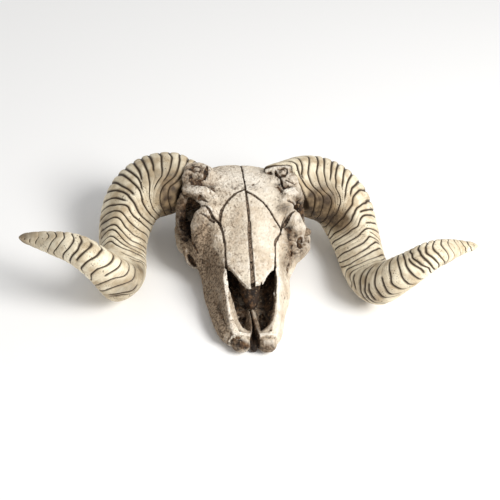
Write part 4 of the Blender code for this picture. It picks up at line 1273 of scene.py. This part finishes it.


# ------------------------------------------------------------------ horn sheaths
# Each horn is a sheath of dry horn that grew over the bony core, ring by ring. The rings
# end in dark grooves, which bend sharply over the keel, and some fade out on the way round.

# The grooves of each horn from its rim to its tip, traced on the photograph of 500
# by 500 pixels: the pixels that each runs through. The right horn's rim is hidden.
PHOTO_SIDE = 500.0
RIGHT_GROOVES = (
    (),
    ((188, 160), (186.5, 165), (184, 172), (179.5, 178), (175, 183), (170, 187), (168.5, 191),
     (168.5, 200), (171, 208), (173, 213)),
    ((179.5, 157), (179, 162), (177, 170), (173, 177), (168, 182), (163, 187), (161, 191),
     (160, 198), (161, 205), (164, 211), (166.5, 215)),
    ((170.5, 155), (171.5, 160), (170, 167), (168, 173), (165, 178), (163, 181.5)),
    ((160.5, 155), (161.5, 162), (162, 170), (160.5, 177), (157, 183), (154.5, 188)),
    ((150, 157), (152, 161), (153, 166), (153.5, 170)),
    ((142, 160), (145, 165), (147.5, 172), (149, 180), (149.5, 188), (149.5, 196), (150.5, 202),
     (153, 208), (156.5, 213), (159.5, 216)),
    ((135, 164), (137, 167), (139.5, 173), (141.5, 179.5)),
    ((127, 169), (132, 173), (137, 177), (140, 182), (142, 189.5)),
    ((122, 175), (127, 177.5), (133, 183), (138, 188), (140.5, 193), (142, 200), (145, 207),
     (149, 213), (154.5, 218.5)),
    ((116, 183), (120, 185), (126, 188), (130.5, 191), (134, 195.5)),
    ((111, 191), (115, 190.5), (121, 191.5), (127, 194.5), (131, 199), (134, 203), (137, 209),
     (141, 215), (146, 220), (151, 224)),
    ((107.5, 200), (112, 198), (117, 198), (122, 199.5), (127, 201.5)),
    ((104.5, 208.5), (109, 206), (115, 205), (122, 204.5), (127, 206), (129.5, 210), (134, 216),
     (139, 220.5), (144, 225), (149.5, 230)),
    ((101.5, 219), (106, 214.5), (112, 211.5), (118, 211), (122, 212.5), (125, 216), (129, 221),
     (134, 226), (139, 230), (146, 234.5)),
    ((100, 227), (102, 224), (108, 220), (114, 217), (118, 218), (121, 220.5), (125, 226),
     (131, 232), (138, 237), (145, 241.5)),
    ((98.5, 237), (101, 232.5), (106, 228), (111, 225), (115, 225), (119, 228), (123, 232),
     (129, 238), (136, 242.5), (144, 247.5)),
    ((101, 239), (104, 235), (108, 231), (112, 229.5), (116, 231.5), (121, 237), (128, 243),
     (135, 247), (143.5, 251.5)),
    ((104, 241.5), (107, 238.5), (110.5, 236.5), (114, 237.5), (119, 241), (126, 246),
     (134, 250), (143.5, 255.5)),
    ((107, 243), (110, 241.5), (114, 243.5), (120, 247), (127, 250), (134, 253), (143.5, 258.5)),
    ((120, 252), (126, 255), (133, 258), (143, 263)),
    ((135, 261), (143, 265)),
    ((136, 291), (131, 293.5), (125, 295), (118, 296.5), (111, 296.5)),
    ((137, 285), (136, 287.5), (133, 290), (127, 291.5), (120, 294), (112, 295)),
    ((135, 270), (134.5, 276), (132, 280), (129, 282.5), (122, 285), (114, 288), (107, 290.5),
     (102, 291)),
    ((129, 265), (128.5, 270), (125.5, 275), (121, 277), (113, 279), (105, 282.5), (98, 285)),
    ((120.5, 264), (117, 268.5), (112, 272), (107, 274.5), (104, 276.5)),
    ((113, 257), (111, 262), (106, 266), (99, 269), (94, 272), (91, 275.5)),
    ((99.5, 246), (99.5, 252), (97, 256), (92, 259), (86, 263), (82, 267), (81, 269)),
    ((89, 238), (90.5, 243), (90, 247), (87, 250), (82, 254), (79, 257.5), (77, 259.5)),
    ((81, 239), (80, 244), (78, 249), (74, 253), (71, 258), (70, 261.5)),
    ((73.5, 238), (72, 243), (69, 248), (65, 252), (63, 256), (63, 258)),
    ((63.5, 233), (64, 236), (62, 241), (58, 246), (55, 250), (54, 254)),
    ((54.5, 232), (55.5, 234), (53, 240), (50, 245), (48, 250), (48, 252)),
    ((47, 231.5), (48.5, 235), (47, 239)),
    ((38, 236), (36.5, 240), (35.5, 244)),
    ((30, 240), (30, 243)),
    ((24, 238), (24, 240)),
)
LEFT_GROOVES = (
    ((287, 165), (291, 168), (294, 174), (297, 180), (299, 184), (303, 192), (306, 200),
     (307, 208)),
    ((290, 161), (294, 162), (296, 165), (298, 170), (299.5, 174), (302, 179), (304, 183),
     (307, 187), (310, 190), (314, 195), (315, 200), (314, 207), (312, 213), (311, 216)),
    ((299.5, 160), (301.5, 164), (302, 170), (301.5, 176)),
    ((308.5, 159), (309, 165), (308.5, 175), (310, 180), (313, 186), (317, 190), (320, 193),
     (322.5, 197), (323, 202), (321.5, 209), (320, 214), (317, 218)),
    ((317, 159), (317.5, 165), (317, 172), (318, 180), (321, 187), (325, 192), (329, 196),
     (331, 200), (330.5, 206), (329, 211), (327, 216), (323, 221)),
    ((324, 160), (324, 168), (324.5, 175), (326, 181), (328.5, 188), (332, 193)),
    ((332.5, 162), (331, 168), (330.5, 175), (330.5, 181)),
    ((338.5, 165), (336.5, 170), (335.5, 177), (336, 184), (337.5, 191), (340, 198),
     (340.5, 203), (338.5, 208), (336, 213), (332, 218), (329, 223), (326, 226)),
    ((345, 170), (343.5, 175), (343, 181), (342, 188)),
    ((351, 176), (348.5, 181), (346, 188), (345, 195), (344.5, 199)),
    ((358, 182), (354.5, 186), (351.5, 191), (350, 196)),
    ((360, 190), (356, 194), (353, 199), (352, 204), (349.5, 208), (345.5, 213), (342, 218),
     (338, 222), (335, 225), (331, 229)),
    ((370, 201), (366, 202), (361, 205), (357, 208.5), (354.5, 213), (352.5, 217), (350, 222),
     (346, 226), (341, 230), (337, 232), (333, 235)),
    ((370, 209.5), (365, 210), (361, 211.5), (359, 214)),
    ((375, 217), (372, 215.5), (368, 215), (364, 215.5), (361, 218), (359.5, 221), (358, 225),
     (355, 228), (350.5, 231), (347, 234), (342, 237), (336, 240.5)),
    ((372, 223), (368, 222.5), (364.5, 223.5)),
    ((379, 234), (376, 231), (372, 229), (368, 228.5), (364.5, 230), (361, 233), (356, 237.5),
     (350, 241), (344, 244), (337, 248)),
    ((378.5, 239), (374, 234.5), (369, 232)),
    ((377, 241), (373, 238), (371, 237), (368, 238.5), (364, 242), (358, 246), (352, 249),
     (347, 251), (341, 254.5)),
    ((380, 247), (378, 243.5), (375, 243), (371, 245), (366, 249), (360, 252.5), (354, 256),
     (348, 259), (342, 262)),
    ((380, 249), (377, 249.5), (372, 251.5), (366, 255), (360, 258), (353, 262), (347, 265),
     (343, 267)),
    ((382, 255), (379, 256), (373, 258.5), (366, 261), (359, 264), (352, 267), (347, 270)),
    ((384, 259), (382, 260), (376, 261), (370, 263.5), (363, 266), (357, 269), (353, 271),
     (351, 274), (350.5, 278), (351, 282)),
    ((355, 274), (353.5, 278), (354, 283), (355.5, 289)),
    ((363, 273), (361, 277), (360, 282), (360, 288), (362, 294), (365, 298)),
    ((368, 273), (366, 278), (365, 284), (365, 290), (367, 296), (370, 299)),
    ((369, 284), (369.5, 290), (371.5, 295), (375, 299)),
    ((378, 269), (376, 274), (375, 280), (375.5, 286), (377, 290), (381, 294.5), (385, 297),
     (390, 297)),
    ((382, 277), (383, 281), (384.5, 286), (387, 290), (390, 293), (395, 293.5), (399, 293)),
    ((390, 262), (389, 266), (390, 272), (391, 278), (392, 282), (394, 286), (398, 288.5),
     (404, 288.5), (408, 287)),
    ((397.5, 258), (398, 262), (399.5, 268), (401, 274), (402.5, 278), (406, 282), (410, 284),
     (412, 284.5)),
    ((403, 255), (404.5, 259), (406, 265), (409, 271), (413, 275), (417, 278), (419, 279)),
    ((408, 258), (411, 263), (416, 266), (421, 270), (424, 273), (425, 274)),
    ((410, 251), (412, 255), (415, 260), (420, 264), (425, 267), (429, 268), (430, 270)),
    ((419, 247), (419.5, 251), (422, 256), (426, 260), (430, 264), (432, 267)),
    ((427, 244), (426, 249), (428, 254), (433, 258), (437, 262), (439, 264.5)),
    ((434, 242), (433, 246), (434.5, 250), (438, 253.5), (441, 257), (443, 260), (444, 261)),
    ((441, 241), (441.5, 245), (444.5, 249), (447, 253), (448.5, 257), (448, 259)),
    ((448, 240), (448, 244), (450.5, 248), (453, 252), (454, 256), (453, 258)),
    ((454, 241), (457, 245), (459.5, 249), (460.5, 253), (460, 255)),
    ((462, 243), (465, 247), (466, 251), (465, 253)),
    ((467, 242), (469.5, 246), (471, 249)),
    ((473, 244),),
)
# Where the photograph doesn't show a groove, it is guessed: for the ring of this number,
# degrees from the keel and millimetres from the horn's base
RIGHT_GUESSES = {
    0: ((-160, -8), (-105, -8), (-68, -6), (-38, -3), (-16, 2), (2, 7), (24, 9), (40, 9),
        (58, 6), (78, 2), (98, 0), (138, -5)),
    3: ((-160, 17), (80, 42)), 6: ((-160, 40), (120, 44)), 9: ((-160, 63), (120, 66)),
    12: ((-160, 90), (60, 98), (120, 92)), 18: ((-160, 166), (-80, 148)),
    21: ((-160, 208), (-80, 187), (0, 175)), 25: ((-80, 235), (-40, 227), (0, 226), (40, 227)),
    27: ((-120, 252),), 29: ((-160, 280), (-120, 273), (-80, 275), (0, 275)),
    33: ((-160, 315), (-40, 318)), 37: ((-160, 354), (-40, 358), (40, 357)),
}
LEFT_GUESSES = {
    0: ((-160, -34), (-130, -38), (-105, -31), (-85, -17), (40, 0), (78, -1), (118, -8),
        (138, -14), (160, -24)),
    1: ((-160, -19), (-130, -22), (-105, -16), (138, -2)),
    2: ((-160, -5), (-130, -7), (24, 27), (58, 40), (98, 28), (138, 10)),
    3: ((-130, 8), (138, 22)), 6: ((-160, 43), (120, 61)),
    9: ((-160, 67), (-120, 58), (40, 85), (120, 84)), 12: ((-120, 80), (120, 103)),
    15: ((-160, 109), (-120, 109), (120, 120)), 18: ((-160, 137), (-40, 145)),
    21: ((-160, 173), (-80, 165), (-40, 160)), 24: ((-120, 200), (-40, 187), (0, 197)),
    26: ((-120, 226), (-40, 213), (0, 218), (40, 226), (80, 228)), 27: ((-130, 243),),
    28: ((-130, 253), (-80, 243), (0, 237)), 30: ((-120, 268), (-40, 258), (0, 254)),
    34: ((-120, 292), (-80, 296), (-40, 293)), 38: ((-160, 311), (-80, 322), (0, 319)),
    40: ((-120, 333), (-40, 336)),
    42: ((-160, 353), (-120, 348), (-40, 349), (0, 354), (120, 354)),
}
# Grooves that run over only part of the way round: the degrees where they begin and end
RIGHT_PARTS = {
    3: (-170, -28), 4: (-170, -14), 5: (-170, -50), 7: (-170, -41), 8: (-170, -24),
    10: (-170, -28), 12: (-170, -25), 20: (38, 190), 21: (62, 190), 22: (150, 230),
    23: (146, 226), 26: (72, 172), 29: (60, 165), 34: (36, 92), 35: (74, 124),
    36: (92, 130), 37: (92, 116),
}
LEFT_PARTS = {
    2: (-175, -45), 5: (-170, -15), 6: (-170, -37), 8: (-170, -33), 9: (-170, -18),
    10: (-170, -32), 13: (-170, -9), 15: (-170, -1), 17: (-60, 4), 23: (110, 152),
    26: (138, 200), 28: (128, 215), 32: (93, 180), 42: (60, 80),
}
# Brown of the horn, partly painted shade under its base next to the skull and in its bend,
# as soft spots: millimetres along it, degrees from the keel, the reach of each and the strength
RIGHT_BROWNS_AND_SHADE = (
    (6, 40, 34, 80, 1.7), (45, 50, 45, 45, 0.45), (75, 84, 60, 30, 0.25),
    (215, 170, 22, 60, 0.4), (200, 100, 22, 30, 0.45), (355, 100, 24, 400, 0.5),
    (118, -40, 34, 22, 0.35),
)
LEFT_BROWNS_AND_SHADE = (
    (22, 26, 40, 48, 1.6), (62, 42, 40, 34, 1.0), (92, 45, 40, 26, 0.35),
    (205, 150, 24, 60, 0.3), (235, 120, 30, 60, 0.1),
)
CREAM, TAN = (0.90, 0.81, 0.62, 1.0), (0.54, 0.43, 0.28, 1.0)
OLIVE, UMBER = (0.27, 0.19, 0.105, 1.0), (0.06, 0.038, 0.022, 1.0)
GROOVE_BROWN = (0.05, 0.03, 0.015, 1.0)
KEEL_SHARES = (0.0, 0.2, 0.27, 0.38, 0.48, 0.61, 0.7, 0.76, 0.84, 1.0)
KEEL_TURNS = (80.0, 68.0, 40.0, 12.0, -5.0, -9.0, 8.0, 22.0, 50.0, 68.0)
KEEL_RISE = 0.06
HORN_SIDES, COURSE_STEPS = 160, 700
# Shares of each ring's breadth at which the sheath has a row of points
RING_ROWS = (0.0, 0.035, 0.075, 0.12, 0.19, 0.29, 0.4, 0.5, 0.6, 0.71, 0.81, 0.88, 0.925, 0.965)
GROOVE_DEPTH, GROOVE_REACH, LINE_REACH = 1.2, 1.1, 1.05
# How wide the grooves are at places along the horn and at its tip
WIDTH_PLACES, GROOVE_WIDTHS = (0, 60, 130, 215, 250), (1.1, 1.05, 1.3, 1.35, 1.0, 0.6)
# Degrees over which a groove fades in at its ends
GROOVE_FADE = 7.0
# The rings are evened out from this place on, fully after this length
EVEN_START, EVEN_LENGTH = 190.0, 60.0
SWELL = 0.8
TIP_ROUNDING, TIP_TAPER, TIP_SHARE = 9.0, 50.0, 0.82
RIM_TAPERS, RIM_REACH = {1.0: 0.04, -1.0: 0.2}, 9.0
# The sheath stands this far inside the course's radius, and its collar, which runs down
# to RIM_LOW, narrows by this share for each millimetre
SHEATH_INSET, COLLAR_TAPER, RIM_LOW = 0.5, 0.0095, -45.0
LEAST_Z, SOFT_Z, MOST_Z = 0.2, 105.8, 108.3


def horn_paint(name):
    """Dry horn: cream and tan in patches and in fine streaks along the rings, olive
    brown where stained and in painted shade, with near-black brown in the grooves."""
    paint, tree, shader, place = dry_paint(name, 0.6, 0.35)
    course = tree.nodes.new("ShaderNodeCombineXYZ")
    tree.links.new(mark(tree, "run"), course.inputs["X"])
    tree.links.new(ramp(tree, mark(tree, "round"), 0.0, 1.0, 0.12), course.inputs["Y"])
    streaks = speckle(tree, course.outputs[0], 0.9, 3.0)
    tan = ramp(tree, speckle(tree, place, 70.0, 3.0), 0.38, 0.66)
    colour = mixed(tree, tan, CREAM, TAN)
    colour = mixed(tree, ramp(tree, streaks, 0.5, 0.8, 0.5), colour, OLIVE)
    patches = ramp(tree, speckle(tree, place, 90.0, 4.0), 0.36, 0.64)
    # Stain with painted shade
    colour = mixed(tree, mark(tree, "stain_and_shade"), colour, mixed(tree, patches, UMBER, OLIVE))
    specks = worked(tree, "MULTIPLY", ramp(tree, speckle(tree, place, 620.0, 1.0), 0.64, 0.69),
                    ramp(tree, speckle(tree, place, 48.0), 0.48, 0.58))
    colour = mixed(tree, specks, colour, UMBER)
    colour = mixed(tree, mark(tree, "line"), colour, GROOVE_BROWN)
    tree.links.new(colour, shader.inputs["Base Color"])
    roughen(tree, shader, streaks, 0.25, 0.0006)
    return paint


def horn_course():
    """Centres, radii and cross directions along the horn at even steps, with the length
    to each: the upright starts as +Z and is kept square to the course."""
    steps = np.linspace(0.0, len(HORN_STATIONS) - 1.0, COURSE_STEPS)
    stations = natural_spline(HORN_STATIONS, steps)
    centre = stations[:, :3]
    course = np.gradient(centre, axis=0)
    course /= np.linalg.norm(course, axis=1)[:, None]
    along = np.r_[0.0, np.cumsum(np.linalg.norm(np.diff(centre, axis=0), axis=1))]
    upright = np.empty_like(centre)
    last = np.array((0.0, 0.0, 1.0))
    for n, way in enumerate(course):
        last = last - way * (last @ way)
        last = last / np.linalg.norm(last)
        upright[n] = last
    across = np.cross(course, upright)
    return along, np.hstack((centre, stations[:, 3:], course, upright, across))


HORN_PLACES, HORN_COURSE = horn_course()
HORN_LENGTH = HORN_PLACES[-1]

# Degrees from the keel at which each ring's place along the horn is kept
RING_ANGLES = np.array((-160, -130, -105, -85, -68, -52, -38, -26, -16, -7, 2, 12, 24, 40, 58,
                        78, 98, 118, 138, 160), float)
# How hard the rings are pulled to what was traced or guessed and away from each other,
# and how stiff they are round the horn and from one to the next
TRACE_PULL, GUESS_PULL, CLOSE_PULL = 2.0, 1.0, 6.0
BEND_ROUND, BEND_ALONG = 20.0, 0.1
# The least breadth of a ring, and the rounds and the slack in keeping to it
LEAST_BREADTH, BREADTH_ROUNDS, BREADTH_SLACK = 2.3, 15, 0.1
# Places and turns of the surface points that a traced pixel is matched with, how far off
# in pixels a match may be, and how many pixels a millimetre of depth counts for
MATCH_STEP, MATCH_TURN, MATCH_REACH, MATCH_DEPTH = 0.5, 1.0, 1.5, 0.03


def plain_sheath(place, turn, side):
    """The sheath without its rings. At places along the horn and turns from the keel: the
    point of its course, the radius, the radius with a triple swell, which is 1 + 0.06
    cos 3a at a from the keel, and the outward direction."""
    held = np.clip(place, 0.0, HORN_LENGTH)
    read = np.stack([np.interp(held, HORN_PLACES, row) for row in HORN_COURSE.T], -1)
    centre, radius, way = read[..., :3], read[..., 3], read[..., 4:7]
    upright, across = read[..., 7:10], read[..., 10:13]
    centre = centre + way * np.minimum(place, 0.0)[..., None]
    end = np.clip((held - (HORN_LENGTH - TIP_ROUNDING)) / TIP_ROUNDING, 0.0, 1.0)
    radius = radius * np.sqrt(np.maximum(1.0 - end * end, 0.0))
    radius = radius * np.interp(held, (HORN_LENGTH - TIP_TAPER, HORN_LENGTH), (1.0, TIP_SHARE))
    rim = RIM_TAPERS[side] * np.exp(-np.maximum(place, 0.0) / RIM_REACH)
    radius = (radius - SHEATH_INSET) * (1.0 - rim)
    radius = np.maximum(radius * (1.0 + COLLAR_TAPER * np.minimum(place, 0.0)), 0.0)
    spin = np.radians(np.interp(held / HORN_LENGTH, KEEL_SHARES, KEEL_TURNS)) + turn
    outward = np.cos(spin)[..., None] * upright + np.sin(spin)[..., None] * across
    return centre, radius, radius * (1.0 + KEEL_RISE * np.cos(3.0 * turn)), outward


def ring_places(grooves, guesses, side):
    """Places of the rings along the horn, a row for each ring and a column for each of
    RING_ANGLES. A traced pixel is matched with the nearest point of the plain sheath that
    faces the camera, with a lean to what lies in front. The rows are those of least bend,
    round the horn and from ring to ring, that pass closest to the traced and guessed
    places: least squares over all of them at once, solved again with a pull on the rings
    that come closer than LEAST_BREADTH."""
    place, degrees = np.meshgrid(np.arange(RIM_LOW, HORN_LENGTH, MATCH_STEP),
                                 np.arange(-180.0, 180.0, MATCH_TURN), indexing="ij")
    centre, _, reach, outward = plain_sheath(place, np.radians(degrees), side)
    view = np.array(bpy.context.scene.camera.matrix_world)
    mirror = np.array((side, 1.0, 1.0))
    sight = to_metres((centre + reach[..., None] * outward) * mirror) - view[:3, 3]
    faces = ((outward * mirror) * sight).sum(-1) < 0.0
    right, up, depth = np.moveaxis(sight[faces] @ (view[:3, :3] * (1.0, 1.0, -1.0)), -1, 0)
    focal = LENS / SENSOR * PHOTO_SIDE
    across, down = 0.5 * PHOTO_SIDE + focal * right / depth, 0.5 * PHOTO_SIDE - focal * up / depth
    place, degrees, behind = place[faces], degrees[faces], MATCH_DEPTH * depth / MM
    known = [(ring, *pair, GUESS_PULL) for ring, pairs in guesses.items() for pair in pairs]
    for ring, groove in enumerate(grooves):
        for x, y in groove:
            off = np.hypot(across - x, down - y)
            n = np.argmin(off + behind)
            if off[n] < MATCH_REACH:
                known.append((ring, degrees[n], place[n], TRACE_PULL))
    ring, degrees, place, pull = np.array(known).T

    rings, turns = len(grooves), len(RING_ANGLES)
    around = np.append(RING_ANGLES, RING_ANGLES[0] + 360.0)
    degrees = np.where(degrees < RING_ANGLES[0], degrees + 360.0, degrees)
    first = np.clip(np.searchsorted(around, degrees, side="right") - 1, 0, turns - 1)
    share = (degrees - around[first]) / (around[first + 1] - around[first])
    at = np.arange(len(known))
    near = np.zeros((len(known), rings * turns))
    near[at, ring.astype(int) * turns + first] += pull * (1.0 - share)
    near[at, ring.astype(int) * turns + (first + 1) % turns] += pull * share
    after = np.diff(around)
    before = np.roll(after, 1)
    column = np.arange(turns)
    bend = np.zeros((turns, turns))
    bend[column, column - 1] += 2.0 / (before * (before + after))
    bend[column, column] -= 2.0 / (before * after)
    bend[column, (column + 1) % turns] += 2.0 / (after * (before + after))
    each = np.eye(rings)
    smooth = np.vstack((np.kron(each, bend) * BEND_ROUND,
                        np.kron(np.diff(each, 2, axis=0), np.eye(turns)) * BEND_ALONG))
    weights = near.T @ near + smooth.T @ smooth
    sums = near.T @ (pull * place)
    steps = np.kron(np.diff(each, axis=0), np.eye(turns))
    close = np.zeros(len(steps), bool)
    for _ in range(BREADTH_ROUNDS):
        pairs = CLOSE_PULL * steps[close]
        table = np.linalg.solve(weights + pairs.T @ pairs,
                                sums + CLOSE_PULL * LEAST_BREADTH * pairs.sum(0))
        still = steps @ table < LEAST_BREADTH - BREADTH_SLACK
        if not still.any():
            break
        close |= still
    return np.minimum(table.reshape(rings, turns), HORN_LENGTH)


def horn_sheath(name, side, grooves, guesses, parts, browns_and_shade, node):
    """One sheath. Its rows of points run along the grooves: the place along the horn of
    a row is read from the rings on both sides of it, and its radius is that of the plain
    sheath with grooves at the rings and a swell between them."""
    angle = np.linspace(-180.0, 180.0, HORN_SIDES, endpoint=False)
    wide = np.hstack((RING_ANGLES - 360.0, RING_ANGLES, RING_ANGLES + 360.0))
    table = smooth_table(wide, np.tile(ring_places(grooves, guesses, side).T, (3, 1)), angle)
    far = np.clip((table - EVEN_START) / EVEN_LENGTH, 0.0, 1.0)
    for _ in range(2):
        beside = np.roll(table, 3, 0) + np.roll(table, -3, 0)
        table += far * (0.25 * beside - 0.5 * table)
    table = np.hstack((table, np.full((HORN_SIDES, 1), HORN_LENGTH)))
    bands = table.shape[1] - 1
    share = np.tile(RING_ROWS, bands)
    band = np.repeat(np.arange(bands), len(RING_ROWS))
    breadth = (table[:, band + 1] - table[:, band]).T
    place = table[:, band].T + share[:, None] * breadth
    show = np.ones((bands + 1, HORN_SIDES))
    show[-1] = 0.0
    for ring, (first, last) in parts.items():
        middle, half = 0.5 * (first + last), 0.5 * (last - first)
        off = np.abs((angle - middle + 180.0) % 360.0 - 180.0)
        show[ring] = np.clip((half - off) / GROOVE_FADE + 0.5, 0.0, 1.0)

    turn = np.radians(angle)[None, :] * np.ones_like(place)
    ring_noise = np.stack((np.cos(turn) * 30.0, np.sin(turn) * 30.0, place), -1) + side * 50.0
    place = place + 0.3 * noise(ring_noise, 17.0) * np.clip(place / 20.0, 0, 1)
    centre, radius, reach, outward = plain_sheath(place, turn, side)

    d_low = share[:, None] * breadth
    d_high = (1.0 - share[:, None]) * breadth
    width = np.interp(place, (*WIDTH_PLACES, HORN_LENGTH), GROOVE_WIDTHS)
    width = width * (1.0 + 0.3 * noise(ring_noise, 12.0, 3.0))
    groove = np.maximum(show[band] * np.exp(-((d_low / (GROOVE_REACH * width)) ** 2)),
                        show[band + 1] * np.exp(-((d_high / (GROOVE_REACH * width)) ** 2)))
    line = np.maximum(show[band] * np.clip(1.5 - d_low / (LINE_REACH * width), 0.0, 1.0),
                      show[band + 1] * np.clip(1.5 - d_high / (LINE_REACH * width), 0.0, 1.0))
    shallow = np.clip(breadth / 6.0, 0.25, 1.0) * np.clip(radius / 12.0, 0.2, 1.0)
    swell = SWELL * np.sqrt(np.clip(4.0 * share * (1.0 - share), 0.0, 1.0))[:, None]
    rough = 0.5 * noise(ring_noise, 24.0, 9.0) + 0.22 * grain(ring_noise, 6.0, 3, 21.0)
    reach = reach + shallow * (swell - GROOVE_DEPTH * groove) + rough * np.clip(radius / 9.0, 0, 1)
    points = centre + reach[..., None] * outward
    z = points[..., 2]
    rise = MOST_Z - SOFT_Z
    z = np.where(z > SOFT_Z, SOFT_Z + rise * (1.0 - np.exp(-(z - SOFT_Z) / rise)), z)
    points[..., 2] = np.maximum(z, LEAST_Z)
    # Brown stain with painted shade under the base and in the bend
    stain_and_shade = np.zeros_like(place)
    for s, a, s_reach, a_reach, strength in browns_and_shade:
        off = (np.degrees(turn) - a + 180.0) % 360.0 - 180.0
        stain_and_shade += strength * np.exp(-(((place - s) / s_reach) ** 2) - (off / a_reach) ** 2)
    stain_and_shade = np.clip(1.45 * stain_and_shade * (1.0 + 0.3 * grain(ring_noise, 22.0, 3, 33.0)), 0.0, 1.0)
    stain_and_shade *= np.clip(1.0 + place / 4.0, 0.15, 1.0)

    rows = len(points)
    base = points[0].mean(0)
    tip = HORN_COURSE[-1, :3]
    flat = np.vstack((points.reshape(-1, 3), base, tip)) * (side, 1.0, 1.0)
    i, j = np.meshgrid(np.arange(rows - 1), np.arange(HORN_SIDES), indexing="ij")
    a = (i * HORN_SIDES + j).ravel()
    b = (i * HORN_SIDES + (j + 1) % HORN_SIDES).ravel()
    quads = np.stack((a, a + HORN_SIDES, b + HORN_SIDES, b), -1)
    n = np.arange(HORN_SIDES)
    m = (n + 1) % HORN_SIDES
    last = (rows - 1) * HORN_SIDES
    fans = np.vstack((np.stack((n, m, np.full_like(n, rows * HORN_SIDES)), -1),
                      np.stack((last + m, last + n, np.full_like(n, rows * HORN_SIDES + 1)), -1)))
    if side < 0.0:
        quads, fans = quads[:, ::-1], fans[:, ::-1]
    corners = np.concatenate((quads.ravel(), fans.ravel()))
    starts = np.concatenate((np.arange(len(quads)) * 4, quads.size + np.arange(len(fans)) * 3))
    marks = {}
    for key, value in (("line", line), ("stain_and_shade", stain_and_shade), ("run", place), ("round", turn * 25.0)):
        ends = (0.05, 0.5) if key == "stain_and_shade" else (0.0, 0.0)
        marks[key] = np.append(value.ravel(), ends)
    sheath = skin_mesh(name, flat, corners, starts, marks, horn_paint(name + "_paint"))
    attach(sheath, "root")
    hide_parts(node)


horn_sheath("horn_sheath_left", 1.0, LEFT_GROOVES, LEFT_GUESSES, LEFT_PARTS, LEFT_BROWNS_AND_SHADE,
            "horn_left")
horn_sheath("horn_sheath_right", -1.0, RIGHT_GROOVES, RIGHT_GUESSES, RIGHT_PARTS, RIGHT_BROWNS_AND_SHADE,
            "horn_right")


low, high = cad_box
